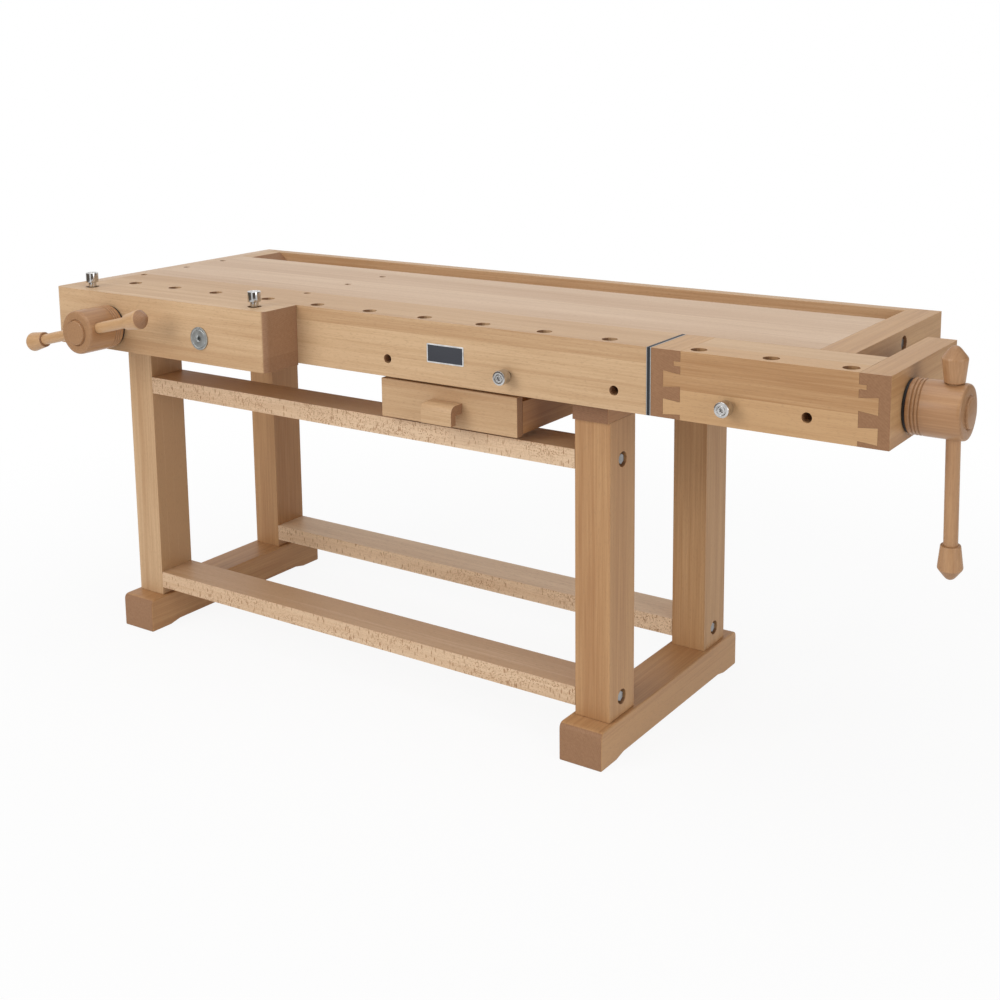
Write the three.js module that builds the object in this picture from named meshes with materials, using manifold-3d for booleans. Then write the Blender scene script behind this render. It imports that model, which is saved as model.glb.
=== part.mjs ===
// Woodworking bench with a front vise, a tail vise, a tool tray and a drawer, on two sledge trestles.
// Millimetres. X runs along the bench from its left end, Y from the front face to the back, Z from the floor.
import * as THREE from "three";
import { mergeVertices } from "three/addons/utils/BufferGeometryUtils.js";
import Module from "manifold-3d";

const wasm = await Module();
wasm.setup();

// Clearances: between glued or seated pieces, between sliding pieces, and the overshoot of a cut.
const seat = 0.3;
const running = 0.5;
const overshoot = 1;

// Bench top.
const benchHeight = 850;
const topLength = 1829;
const topDepth = 616;
const apronHeight = 126;
const slabThickness = 54;
const beamDepth = 140;
const leftCapWidth = 30;
const rightCapWidth = 65;
const rearBoardThickness = 28;
const trayWidth = 110;
const trayFloorThickness = 12;
const trayFloorLap = 24;
const trayFloorGroove = 10;
const rampFlat = 36;
const rampRun = 64;

// Trestles.
const leftTrestleX = 65;
const rightTrestleInset = 437;
const legWidth = 78;
const legDepth = 98;
const footFront = 0;
const footLength = 604;
const footWidth = 96;
const footHeight = 79;
const footRound = 14;
const padLength = 60;
const reliefRun = 30;
const reliefDepth = 6;
const legInset = 47;
const bearerDepth = 40;
const bearerOverhang = 9;
const bearerShoulder = 3;
const tenonThickness = 30;
const tenonMargin = 16;
const footTenon = 45;
const bearerTenon = 28;
const stretcherThickness = 39;
const upperStretcherDrop = 267;
const lowerStretcherZ = 98;

// Bolts of the trestles and of the end cap.
const boltRadius = 6;
const boltHeadRadius = 11;
const boltHeadHeight = 8;
const washerRadius = 14;
const washerThickness = 2;
const boltReach = 90;
const recessRadius = 15.5;
const recessDepth = 14;
const capBoltY = 394;
const boltSides = 12;

// Bench dogs and the holes for them.
const dogHeadRadius = 14.2;
const dogHeadHeight = 22;
const dogShankRadius = 9.1;
const jawDogShank = 86;
const jawDogRaise = 11;
const pegShank = 60;
const pegRaise = 8;
const dogEdge = 1.2;
const dogRingOuter = 9;
const dogRingInner = 7;
const dogRingDepth = 1.2;
const dogSocketRadius = 3.6;
const dogSocketDepth = 6;
const dogSides = 20;
const dogBoreRadius = 9.5;
const dogSinkRadius = 15;
const dogSinkDepth = 34;
const holeSides = 18;
const rowY = 27;
const firstRowX = 127;
const firstRowPitch = 131;
const firstRowCount = 3;
const secondRowX = 547;
const secondRowCount = 7;
const rowEndMargin = 91;
const smallHoleRadius = 8;
const smallHoleColumns = [46, 572];
const smallHoleRows = [127, 268, 395];
const sideHoleDrop = 89;
const sideHoleDepth = 62;
const beamSideHoleInsets = [595, 302, 67];
const benchPegInset = 302;

// Front vise.
const jawLength = 654;
const jawThickness = 102;
const jawHeight = 130;
const jawCornerRadius = 15;
const jawDogColumns = [79, 590];
const jawDogY = -60;
const frontScrewX = 184;
const frontScrewDrop = 74.5;
const guideX = 465;
const guideRadius = 12.5;
const guideReach = 210;
const guideFlangeRadius = 25;
const guideFlangeThickness = 3;
const guideSocketRadius = 5;
const guideSocketDepth = 8;
const sleeveWall = 4;
const frontScrewReach = 220;
const frontHandleTilt = THREE.MathUtils.degToRad(13.5);
const frontHandleShift = 0;

// Nuts of the two vise screws.
const nutBarrelRadius = 24;
const nutBarrelLength = 60;
const nutFlangeRadius = 34;
const nutFlangeThickness = 10;
const tailNutLength = 56;
const tailNutHeight = 56;
const tailNutInset = 68;

// Vise screws, hubs and handles, the same for both vises.
const screwRadius = 14;
const screwPassRadius = 16;
const screwSides = 20;
const collarRadius = 46;
const collarThickness = 5;
const hubRadius = 48.5;
const hubBody = 84;
const hubLength = 93;
const hubFaceRadius = 41;
const hubBossRadius = 27;
const hubBossHeight = 5;
const hubSocketDepth = 45;
const beadWidth = 9.5;
const beadCount = 2;
const beadGroove = 1.8;
const hubSides = 32;
const barRadius = 12.2;
const barCentre = 68;
const barFree = 285;
const barTenon = 22;
const barSides = 20;
const knobLength = 63;
const knobRimRadius = 17;
const knobRadius = 21.8;
const knobWidest = 42;
const knobSides = 24;

// Tail vise.
const tailGap = 59;
const tailEndThickness = 54;
const tailEndDepth = 346;
const tailLength = 440;
const tailJawWidth = 59;
const linerThickness = 9;
const tailBoardThickness = 60;
const tailCoverThickness = 24;
const tailScrewY = 97;
const tailScrewDrop = 68.5;
const tailScrewClearance = 23;
const tailRowShares = [0.186, 0.498, 0.823];
const tailSideHoleShares = [0.348, 0.675];
const tailPegShare = 0.348;
const tailGuideY = 270;
const tailGuideDrop = 86;
const tailGuideClearance = 66;
const tailGuideTenon = 40;
const tailHandleTilt = THREE.MathUtils.degToRad(3.2);
const tailHandleShift = barFree / 2 - hubRadius - running;

// Dovetails of the tail vise: depth below the top, half widths at root and tip, and reach.
const dovetails = [
  { drop: 24, root: 4, tip: 4, reach: 13 },
  { drop: 54, root: 11, tip: 15, reach: 34 },
  { drop: 105, root: 11.3, tip: 14.5, reach: 34 },
];

// Drawer.
const drawerInset = 114;
const drawerWidth = 336;
const drawerFrontY = 20;
const drawerFrontThickness = 20;
const drawerFrontDrop = 10;
const drawerFrontHeight = 81;
const drawerDepth = 400;
const drawerSideThickness = 14;
const drawerSideLift = 4;
const drawerSideHeight = 65;
const drawerFloorThickness = 8;
const drawerFloorLift = 4;
const drawerBackHeight = 32;
const runnerThickness = 16;
const runnerTongue = 6;
const runnerTongueHeight = 10;
const runnerTongueDrop = 38;
const runnerShoulder = 6;
const pullWidth = 75;
const pullDepth = 39;
const pullHeight = 41;
const pullLift = 12;
const pullLip = 16;
const pullTop = 21;
const pullRound = 18;

// Looks: colour, roughness and metalness.
const looks = {
  beech: { color: 0xc9a27a, roughness: 0.55, metalness: 0 },
  turned: { color: 0xbf9468, roughness: 0.4, metalness: 0 },
  steel: { color: 0xc4c6c8, roughness: 0.25, metalness: 1 },
  iron: { color: 0x3c3d40, roughness: 0.6, metalness: 0.8 },
  dark: { color: 0x2b2a2c, roughness: 0.7, metalness: 0 },
};

// Levels and lines that several pieces share.
const topZ = benchHeight;
const apronZ = topZ - apronHeight;
const slabZ = topZ - slabThickness;
const capX = topLength - rightCapWidth;
const rearY = topDepth - rearBoardThickness;
const slabBack = rearY - trayWidth;
const tailRight = topLength + tailGap + tailEndThickness;
const tailEndX = tailRight - tailEndThickness;
const tailLeft = tailRight - tailLength;
const tailBoardX = tailLeft + tailJawWidth;
const tailScrewReach = tailLength - tailJawWidth - tailScrewClearance;
const beamRight = tailLeft - linerThickness;
const rightTrestleX = topLength - rightTrestleInset - legWidth;
const tailBack = beamDepth - running;
const frontScrewZ = topZ - frontScrewDrop;
const tailScrewZ = topZ - tailScrewDrop;
const sideHoleZ = topZ - sideHoleDrop;
const upperStretcherZ = topZ - upperStretcherDrop;
const slabClearBack = slabBack - trayFloorLap - bearerShoulder;
const bearerZ = apronZ - bearerDepth;
const drawerX = rightTrestleX - drawerInset - drawerWidth;
const drawerFrontZ = apronZ - drawerFrontDrop - drawerFrontHeight;
const drawerSideZ = drawerFrontZ + drawerSideLift;
const runnerTongueZ = apronZ - runnerTongueDrop;
const legFronts = [footFront + legInset, footFront + footLength - legInset - legDepth];
const frontLegY = legFronts[0];
const rearLegY = legFronts[1];

const bench = new THREE.Group();

// A closed three.js geometry as a solid for cutting and joining.
function solidFrom(geometry) {
  const bare = geometry.clone();
  bare.deleteAttribute("normal");
  bare.deleteAttribute("uv");
  const merged = mergeVertices(bare, 1e-4);
  const mesh = new wasm.Mesh({
    numProp: 3,
    vertProperties: merged.attributes.position.array,
    triVerts: new Uint32Array(merged.index.array),
  });
  return new wasm.Manifold(mesh);
}

// The surface of a solid as a three.js geometry.
function geometryFrom(solid) {
  const mesh = solid.getMesh();
  const geometry = new THREE.BufferGeometry();
  const corners = new Float32Array(mesh.vertProperties);
  geometry.setAttribute("position", new THREE.BufferAttribute(corners, 3));
  geometry.setIndex(new THREE.BufferAttribute(new Uint32Array(mesh.triVerts), 1));
  geometry.computeVertexNormals();
  return geometry;
}

function cut(geometry, tools) {
  let solid = solidFrom(geometry);
  for (const tool of tools) solid = solid.subtract(solidFrom(tool));
  return geometryFrom(solid);
}

function join(geometry, additions) {
  let solid = solidFrom(geometry);
  for (const addition of additions) solid = solid.add(solidFrom(addition));
  return geometryFrom(solid);
}

function piece(name, geometry, look, parent = bench) {
  const mesh = new THREE.Mesh(geometry, new THREE.MeshStandardMaterial(looks[look]));
  mesh.name = name;
  parent.add(mesh);
  return mesh;
}

function block([x0, x1], [y0, y1], [z0, z1]) {
  const box = new THREE.BoxGeometry(x1 - x0, y1 - y0, z1 - z0);
  return box.translate((x0 + x1) / 2, (y0 + y1) / 2, (z0 + z1) / 2);
}

function rodX(radius, [x0, x1], y, z, sides) {
  const rod = new THREE.CylinderGeometry(radius, radius, x1 - x0, sides);
  return rod.rotateZ(Math.PI / 2).translate((x0 + x1) / 2, y, z);
}

function rodY(radius, x, [y0, y1], z, sides) {
  const rod = new THREE.CylinderGeometry(radius, radius, y1 - y0, sides);
  return rod.translate(x, (y0 + y1) / 2, z);
}

function rodZ(radius, x, y, [z0, z1], sides) {
  const rod = new THREE.CylinderGeometry(radius, radius, z1 - z0, sides);
  return rod.rotateX(Math.PI / 2).translate(x, y, (z0 + z1) / 2);
}

// A turned piece about +Z from [radius, height] points that start and end on the axis.
function turned(profile, sides) {
  const points = profile.map(([radius, height]) => new THREE.Vector2(radius, height));
  return new THREE.LatheGeometry(points, sides).rotateX(Math.PI / 2);
}

function outline(points) {
  return new THREE.Shape(points.map(([a, b]) => new THREE.Vector2(a, b)));
}

// A shape drawn in Y and Z, given thickness along X.
function alongX(shape, [x0, x1]) {
  const slab = new THREE.ExtrudeGeometry(shape, { depth: x1 - x0, bevelEnabled: false, curveSegments: 8 });
  const axes = new THREE.Matrix4().makeBasis(
    new THREE.Vector3(0, 1, 0),
    new THREE.Vector3(0, 0, 1),
    new THREE.Vector3(1, 0, 0),
  );
  return slab.applyMatrix4(axes).translate(x0, 0, 0);
}

// A shape drawn in X and Z, given thickness along Y.
function alongY(shape, [y0, y1]) {
  const slab = new THREE.ExtrudeGeometry(shape, { depth: y1 - y0, bevelEnabled: false, curveSegments: 8 });
  return slab.rotateX(Math.PI / 2).translate(0, y1, 0);
}

// Trestles: sledge feet, legs tenoned into foot and bearer, and bolted stretchers.
function footShape() {
  const front = footFront;
  const back = footFront + footLength;
  const shape = new THREE.Shape();
  shape.moveTo(front, 0);
  shape.lineTo(front + padLength, 0);
  shape.lineTo(front + padLength + reliefRun, reliefDepth);
  shape.lineTo(back - padLength - reliefRun, reliefDepth);
  shape.lineTo(back - padLength, 0);
  shape.lineTo(back, 0);
  shape.lineTo(back, footHeight - footRound);
  shape.quadraticCurveTo(back, footHeight, back - footRound, footHeight);
  shape.lineTo(front + footRound, footHeight);
  shape.quadraticCurveTo(front, footHeight, front, footHeight - footRound);
  return shape;
}

function bearerShape() {
  const front = frontLegY - bearerOverhang;
  const back = rearLegY + legDepth + bearerOverhang;
  const rise = beamDepth + bearerShoulder;
  return outline([
    [front, bearerZ],
    [back, bearerZ],
    [back, apronZ - seat],
    [slabClearBack, apronZ - seat],
    [slabClearBack, slabZ - seat],
    [rise, slabZ - seat],
    [rise, apronZ - seat],
    [front, apronZ - seat],
  ]);
}

// The tenon of a leg, or its mortise when grown by a clearance.
function tenon(legX, legY, [z0, z1], grow) {
  const centre = legX + legWidth / 2;
  const half = tenonThickness / 2 + grow;
  const yRange = [legY + tenonMargin - grow, legY + legDepth - tenonMargin + grow];
  return block([centre - half, centre + half], yRange, [z0, z1]);
}

function boltHoles(legX, side, y, z) {
  const outer = side < 0 ? legX : legX + legWidth;
  const recess = outer - side * recessDepth;
  const through = [legX - overshoot, legX + legWidth + overshoot];
  const sink = [Math.min(recess, outer + side * overshoot), Math.max(recess, outer + side * overshoot)];
  return [
    rodX(boltRadius + seat, through, y, z, boltSides),
    rodX(recessRadius, sink, y, z, boltSides),
  ];
}

// A bolt along X whose washer lies against the face at x and whose shank runs away from side.
function bolt(x, side, y, z, length) {
  const span = (from, to) => {
    const pair = [x + side * from, x + side * to];
    return [Math.min(...pair), Math.max(...pair)];
  };
  const shank = rodX(boltRadius, span(-length, washerThickness), y, z, boltSides);
  const washer = rodX(washerRadius, span(seat, seat + washerThickness), y, z, boltSides);
  const head = rodX(boltHeadRadius, span(washerThickness, seat + washerThickness + boltHeadHeight), y, z, 6);
  return join(shank, [washer, head]);
}

const upperZ = upperStretcherZ + stretcherThickness / 2;
const lowerZ = lowerStretcherZ + stretcherThickness / 2;
const stretchers = [
  { name: "front_upper", y: frontLegY, z: upperZ },
  { name: "front_lower", y: frontLegY, z: lowerZ },
  { name: "rear_lower", y: rearLegY, z: lowerZ },
];
const trestles = [
  { name: "left", x: leftTrestleX, side: -1 },
  { name: "right", x: rightTrestleX, side: 1 },
];
const legNames = ["front", "rear"];

for (const { name, x, side } of trestles) {
  const footLeft = x + (legWidth - footWidth) / 2;
  const footMortiseRange = [footHeight - footTenon - seat, footHeight + overshoot];
  const footMortises = legFronts.map((y) => tenon(x, y, footMortiseRange, seat));
  const foot = alongX(footShape(), [footLeft, footLeft + footWidth]);
  piece(name + "_foot", cut(foot, footMortises), "beech");

  const bearerMortiseRange = [bearerZ - overshoot, bearerZ + bearerTenon + seat];
  const bearerMortises = legFronts.map((y) => tenon(x, y, bearerMortiseRange, seat));
  const bearer = alongX(bearerShape(), [x, x + legWidth]);
  piece(name + "_bearer", cut(bearer, bearerMortises), "beech");

  legFronts.forEach((y, i) => {
    const legRange = [footHeight + seat, bearerZ - seat];
    const leg = block([x, x + legWidth], [y, y + legDepth], legRange);
    const foottenon = tenon(x, y, [footHeight - footTenon, footHeight + overshoot], 0);
    const headtenon = tenon(x, y, [bearerZ - overshoot, bearerZ + bearerTenon], 0);
    const holes = stretchers
      .filter((stretcher) => stretcher.y === y)
      .flatMap((stretcher) => boltHoles(x, side, y + legDepth / 2, stretcher.z));
    piece(name + "_" + legNames[i] + "_leg", cut(join(leg, [foottenon, headtenon]), holes), "beech");
  });
}

const spanLeft = leftTrestleX + legWidth + seat;
const spanRight = rightTrestleX - seat;
for (const { name, y, z } of stretchers) {
  const half = stretcherThickness / 2;
  const rail = block([spanLeft, spanRight], [y, y + legDepth], [z - half, z + half]);
  const middle = y + legDepth / 2;
  const reach = boltReach + overshoot;
  const holes = [
    rodX(boltRadius + seat, [spanLeft - overshoot, spanLeft + reach], middle, z, boltSides),
    rodX(boltRadius + seat, [spanRight - reach, spanRight + overshoot], middle, z, boltSides),
  ];
  piece(name + "_stretcher", cut(rail, holes), "beech");
  for (const trestle of trestles) {
    const outer = trestle.side < 0 ? trestle.x : trestle.x + legWidth;
    const face = outer - trestle.side * recessDepth;
    const length = legWidth - recessDepth + boltReach;
    piece(name + "_bolt_" + trestle.name, bolt(face, trestle.side, middle, z, length), "steel");
  }
}

// Bench top: front beam with the row of dog holes, slab, tool tray and end caps.
function dogHole(x, y, top) {
  return [
    rodZ(dogBoreRadius, x, y, [apronZ - jawHeight, top], holeSides),
    rodZ(dogSinkRadius, x, y, [top - dogSinkDepth, top + overshoot], holeSides),
  ];
}

function sideHole(x) {
  return rodY(dogBoreRadius, x, [-overshoot, sideHoleDepth], sideHoleZ, holeSides);
}

function smallHole(x, y, bottom) {
  return rodZ(smallHoleRadius, x, y, [bottom - overshoot, topZ + overshoot], holeSides);
}

const rowHoles = [];
for (let i = 0; i < firstRowCount; i += 1) rowHoles.push(firstRowX + i * firstRowPitch);
const rowPitch = (beamRight - rowEndMargin - secondRowX) / (secondRowCount - 1);
for (let i = 0; i < secondRowCount; i += 1) rowHoles.push(secondRowX + i * rowPitch);

const sleeveRadius = guideRadius + running + sleeveWall;
const beamX = [leftCapWidth + seat, beamRight - seat];
const beamHoles = [
  ...rowHoles.flatMap((x) => dogHole(x, rowY, topZ)),
  ...beamSideHoleInsets.map((inset) => sideHole(beamRight - inset)),
  ...smallHoleColumns.map((x) => smallHole(x, smallHoleRows[0], apronZ)),
  rodY(screwPassRadius, frontScrewX, [-overshoot, beamDepth + overshoot], frontScrewZ, screwSides),
  rodY(
    nutBarrelRadius + seat,
    frontScrewX,
    [beamDepth - nutBarrelLength - seat, beamDepth + overshoot],
    frontScrewZ,
    screwSides,
  ),
  rodY(sleeveRadius + seat, guideX, [-overshoot, beamDepth + overshoot], frontScrewZ, screwSides),
];
piece("front_beam", cut(block(beamX, [0, beamDepth], [apronZ, topZ]), beamHoles), "beech");

const slabX = [leftCapWidth + seat, capX - seat];
const capBoltZ = slabZ + slabThickness / 2;
const slabHoles = smallHoleRows.slice(1).flatMap((y) => smallHoleColumns.map((x) => smallHole(x, y, slabZ)));
slabHoles.push(rodX(boltRadius + seat, [capX - boltReach, capX], capBoltY, capBoltZ, boltSides));
piece("bench_slab", cut(block(slabX, [beamDepth + seat, slabBack], [slabZ, topZ]), slabHoles), "beech");

piece("end_cap_left", block([0, leftCapWidth], [0, topDepth], [apronZ, topZ]), "beech");

const capHoles = [
  rodX(boltRadius + seat, [capX - overshoot, topLength], capBoltY, capBoltZ, boltSides),
  rodX(recessRadius, [topLength - recessDepth, topLength + overshoot], capBoltY, capBoltZ, boltSides),
  rodX(
    guideRadius + running,
    [capX - overshoot, topLength + overshoot],
    tailGuideY,
    topZ - tailGuideDrop,
    screwSides,
  ),
];
const capBlank = block([capX, topLength], [beamDepth + seat, topDepth], [apronZ, topZ]);
piece("end_cap_right", cut(capBlank, capHoles), "beech");
const capBoltLength = rightCapWidth - recessDepth + boltReach / 2;
piece("end_cap_bolt", bolt(topLength - recessDepth, 1, capBoltY, capBoltZ, capBoltLength), "steel");

const floorTop = slabZ - seat;
const floorRange = [floorTop - trayFloorThickness, floorTop];
const floorY = [slabBack - trayFloorLap, rearY + trayFloorGroove];
const groove = block(
  [-overshoot, topLength],
  [rearY - overshoot, floorY[1] + seat],
  [floorRange[0] - seat, floorRange[1] + seat],
);
piece("rear_board", cut(block(slabX, [rearY, topDepth], [apronZ, topZ]), [groove]), "beech");
piece("tray_bottom", block(slabX, floorY, floorRange), "beech");
const rampX = leftCapWidth + seat;
const rampShape = outline([
  [rampX, floorTop + seat],
  [rampX + rampFlat + rampRun, floorTop + seat],
  [rampX + rampFlat, topZ],
  [rampX, topZ],
]);
piece("tray_ramp", alongY(rampShape, [slabBack + seat, rearY - seat]), "beech");

// Bench dogs: a stepped steel pin, standing in its hole along +Z.
function dog(shank) {
  const top = dogHeadHeight;
  const floor = top - dogRingDepth;
  return turned(
    [
      [0, -shank],
      [dogShankRadius - dogEdge, -shank],
      [dogShankRadius, dogEdge - shank],
      [dogShankRadius, 0],
      [dogHeadRadius - dogEdge, 0],
      [dogHeadRadius, dogEdge],
      [dogHeadRadius, top - dogEdge],
      [dogHeadRadius - dogEdge, top],
      [dogRingOuter, top],
      [dogRingOuter, floor],
      [dogRingInner, floor],
      [dogRingInner, top],
      [dogSocketRadius, top],
      [dogSocketRadius, top - dogSocketDepth],
      [0, top - dogSocketDepth],
    ],
    dogSides,
  );
}

// Front vise: jaw, guide rod and sleeve, and the nut let into the beam.
function jawShape() {
  const front = -jawThickness;
  const r = jawCornerRadius;
  const shape = new THREE.Shape();
  shape.moveTo(0, -seat);
  shape.lineTo(0, front + r);
  shape.absarc(r, front + r, r, Math.PI, 1.5 * Math.PI, false);
  shape.lineTo(jawLength - r, front);
  shape.absarc(jawLength - r, front + r, r, 1.5 * Math.PI, 2 * Math.PI, false);
  shape.lineTo(jawLength, -seat);
  return shape;
}

const jawZ = topZ - jawHeight;
const jawExtrusion = { depth: jawHeight, bevelEnabled: false, curveSegments: 6 };
const jawBlank = new THREE.ExtrudeGeometry(jawShape(), jawExtrusion);
jawBlank.translate(0, 0, jawZ);
const throughJaw = [-jawThickness - overshoot, overshoot];
const jawHoles = [
  ...jawDogColumns.flatMap((x) => dogHole(x, jawDogY, topZ)),
  rodY(screwPassRadius, frontScrewX, throughJaw, frontScrewZ, screwSides),
  rodY(guideRadius + seat, guideX, throughJaw, frontScrewZ, screwSides),
];
piece("front_jaw", cut(jawBlank, jawHoles), "beech");
jawDogColumns.forEach((x, i) => {
  const pin = piece("jaw_dog_" + trestles[i].name, geometryFrom(solidFrom(dog(jawDogShank))), "steel");
  pin.position.set(x, jawDogY, topZ + jawDogRaise);
});

// The guide rod lies along +Z here, flange outwards, and is turned to face the front.
const guideBack = -jawThickness - beamDepth - guideReach;
const guideProfile = [
  [0, guideBack],
  [guideRadius, guideBack],
  [guideRadius, seat],
  [guideFlangeRadius, seat],
  [guideFlangeRadius, seat + guideFlangeThickness],
  [guideSocketRadius, seat + guideFlangeThickness],
  [guideSocketRadius, seat + guideFlangeThickness - guideSocketDepth],
  [0, seat + guideFlangeThickness - guideSocketDepth],
];
const guideRod = piece("front_guide_rod", geometryFrom(solidFrom(turned(guideProfile, screwSides))), "steel");
guideRod.rotation.x = Math.PI / 2;
guideRod.position.set(guideX, -jawThickness, frontScrewZ);

const sleeveRange = [0, beamDepth];
const sleeveBoreRange = [-overshoot, beamDepth + overshoot];
const sleeveBore = rodY(guideRadius + running, guideX, sleeveBoreRange, frontScrewZ, screwSides);
piece(
  "front_guide_sleeve",
  cut(rodY(sleeveRadius, guideX, sleeveRange, frontScrewZ, screwSides), [sleeveBore]),
  "steel",
);

const flangeRange = [beamDepth + seat, beamDepth + seat + nutFlangeThickness];
const barrelRange = [beamDepth - nutBarrelLength, flangeRange[1]];
const nutBarrel = rodY(nutBarrelRadius, frontScrewX, barrelRange, frontScrewZ, screwSides);
const nutFlange = rodY(nutFlangeRadius, frontScrewX, flangeRange, frontScrewZ, screwSides);
const nutBore = rodY(
  screwRadius + running,
  frontScrewX,
  [-overshoot, flangeRange[1] + overshoot],
  frontScrewZ,
  screwSides,
);
const nutTrim = block(
  [frontScrewX - nutFlangeRadius, frontScrewX + nutFlangeRadius],
  flangeRange,
  [slabZ - seat, topZ],
);
piece("front_nut", cut(join(nutBarrel, [nutFlange]), [nutBore, nutTrim]), "iron");

// Screw, hub, collar and handle of a vise. The screw runs along Z here, outwards from the jaw's face.
function hubProfile() {
  const points = [
    [0, 0],
    [hubRadius - beadGroove, 0],
  ];
  for (let i = 0; i < beadCount; i += 1) {
    const low = i * beadWidth;
    const high = low + beadWidth;
    points.push([hubRadius, low + beadGroove]);
    points.push([hubRadius, high - beadGroove]);
    points.push([hubRadius - beadGroove, high]);
  }
  const last = beadCount * beadWidth;
  const face = hubLength;
  const shoulder = (hubBody + face) / 2;
  points.push([hubRadius, last + beadGroove]);
  points.push([hubRadius, hubBody]);
  points.push([(hubRadius * 2 + hubFaceRadius) / 3, shoulder]);
  points.push([hubFaceRadius, face]);
  points.push([hubBossRadius + beadGroove, face]);
  points.push([hubBossRadius + beadGroove, face - beadGroove]);
  points.push([hubBossRadius, face - beadGroove]);
  points.push([hubBossRadius, face + hubBossHeight - beadGroove]);
  points.push([hubBossRadius - beadGroove, face + hubBossHeight]);
  points.push([0, face + hubBossHeight]);
  return points;
}

function knobProfile() {
  const end = knobLength;
  const cone = end - knobWidest;
  return [
    [0, 0],
    [knobRimRadius, 0],
    [knobRadius, knobWidest],
    [knobRadius * 0.93, knobWidest + cone * 0.28],
    [knobRadius * 0.62, knobWidest + cone * 0.7],
    [knobRadius * 0.3, knobWidest + cone * 0.93],
    [0, end],
  ];
}

function viseScrew(name, reach, handleShift, ends) {
  const turning = new THREE.Group();
  const bore = rodZ(screwRadius + seat, 0, 0, [-overshoot, hubSocketDepth], screwSides);
  const crossRange = [-hubRadius - overshoot, hubRadius + overshoot];
  const cross = rodX(barRadius + running, crossRange, 0, barCentre, barSides);
  piece(name + "_hub", cut(turned(hubProfile(), hubSides), [bore, cross]), "turned", turning);
  const screw = rodZ(screwRadius, 0, 0, [-reach, hubSocketDepth - seat], screwSides);
  piece(name + "_screw", screw, "steel", turning);

  const collarFace = -running;
  const ring = rodZ(collarRadius, 0, 0, [collarFace - collarThickness, collarFace], hubSides);
  const hole = rodZ(screwPassRadius, 0, 0, [-reach, overshoot], screwSides);
  piece(name + "_collar", cut(ring, [hole]), "dark", turning);

  const handle = new THREE.Group();
  const half = barFree / 2;
  const bar = rodX(barRadius, [-half - barTenon, half + barTenon], 0, 0, barSides);
  piece(name + "_handle_bar", bar, "turned", handle);
  const socket = rodZ(barRadius + seat, 0, 0, [-overshoot, barTenon + seat], barSides);
  const knob = cut(turned(knobProfile(), knobSides), [socket]);
  ends.forEach((end, i) => {
    const side = i === 0 ? -1 : 1;
    const tip = piece(name + "_knob_" + end, knob.clone(), "turned", handle);
    tip.rotation.y = (side * Math.PI) / 2;
    tip.position.x = side * half;
  });
  handle.position.set(handleShift, 0, barCentre);
  turning.add(handle);
  bench.add(turning);
  return turning;
}

const hubBase = collarThickness + running + seat;
const frontReach = hubBase + jawThickness + beamDepth + frontScrewReach;
const frontVise = viseScrew("front", frontReach, frontHandleShift, ["left", "right"]);
frontVise.rotation.set(Math.PI / 2, 0, frontHandleTilt);
frontVise.position.set(frontScrewX, -jawThickness - hubBase, frontScrewZ);

const tailVise = viseScrew("tail", hubBase + tailScrewReach, tailHandleShift, ["top", "bottom"]);
tailVise.rotation.set(0, Math.PI / 2, tailHandleTilt);
tailVise.position.set(tailRight + hubBase, tailScrewY, tailScrewZ);

// Tail vise: a box of front board, cover, jaw block and end board, dovetailed at both front corners.
function tailBoardShape() {
  const left = tailBoardX;
  const right = tailEndX;
  const points = [[left, topZ]];
  for (const { drop, root, tip, reach } of dovetails) {
    const z = topZ - drop;
    points.push([left, z + root], [left - reach, z + tip], [left - reach, z - tip], [left, z - root]);
  }
  points.push([left, apronZ], [right, apronZ]);
  for (const { drop, root, tip, reach } of [...dovetails].reverse()) {
    const z = topZ - drop;
    points.push([right, z - root], [right + reach, z - tip], [right + reach, z + tip], [right, z + root]);
  }
  points.push([right, topZ]);
  return outline(points);
}

// The sockets for the dovetails at one end: x is the root line and side points to the tips.
function sockets(x, side) {
  return dovetails.map(({ drop, root, tip, reach }) => {
    const z = topZ - drop;
    const near = x - side * overshoot;
    const far = x + side * (reach + seat);
    const shape = outline([
      [near, z - root - seat],
      [far, z - tip - seat],
      [far, z + tip + seat],
      [near, z + root + seat],
    ]);
    return alongY(shape, [-overshoot, tailBoardThickness + seat]);
  });
}

const tailHoles = [
  ...tailRowShares.flatMap((share) => dogHole(tailLeft + share * tailLength, rowY, topZ)),
  ...tailSideHoleShares.map((share) => sideHole(tailLeft + share * tailLength)),
];
piece("tail_front_board", cut(alongY(tailBoardShape(), [0, tailBoardThickness]), tailHoles), "beech");

const jawBlock = block([tailLeft, tailBoardX - seat], [0, tailBack], [apronZ, topZ]);
piece("tail_jaw_block", cut(jawBlock, sockets(tailBoardX, -1)), "beech");
piece("tail_jaw_liner", block([beamRight, tailLeft - seat], [0, tailBack], [apronZ, topZ]), "dark");

const coverY = [tailBoardThickness + seat, tailBack];
const coverX = [tailBoardX, tailEndX - seat];
piece("tail_top_board", block(coverX, coverY, [topZ - tailCoverThickness, topZ]), "beech");

const tailGuideZ = topZ - tailGuideDrop;
const endBoard = block([tailEndX + seat, tailRight], [0, tailEndDepth], [apronZ, topZ]);
const endHoles = [
  ...sockets(tailEndX, 1),
  rodX(screwPassRadius, [tailEndX - overshoot, tailRight + overshoot], tailScrewY, tailScrewZ, screwSides),
  rodX(
    guideRadius + seat,
    [tailEndX - overshoot, tailEndX + tailGuideTenon],
    tailGuideY,
    tailGuideZ,
    screwSides,
  ),
];
piece("tail_end_board", cut(endBoard, endHoles), "beech");
const tailGuideX = [rightTrestleX + legWidth + tailGuideClearance, tailEndX + tailGuideTenon - seat];
piece("tail_guide_rod", rodX(guideRadius, tailGuideX, tailGuideY, tailGuideZ, screwSides), "steel");

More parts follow.
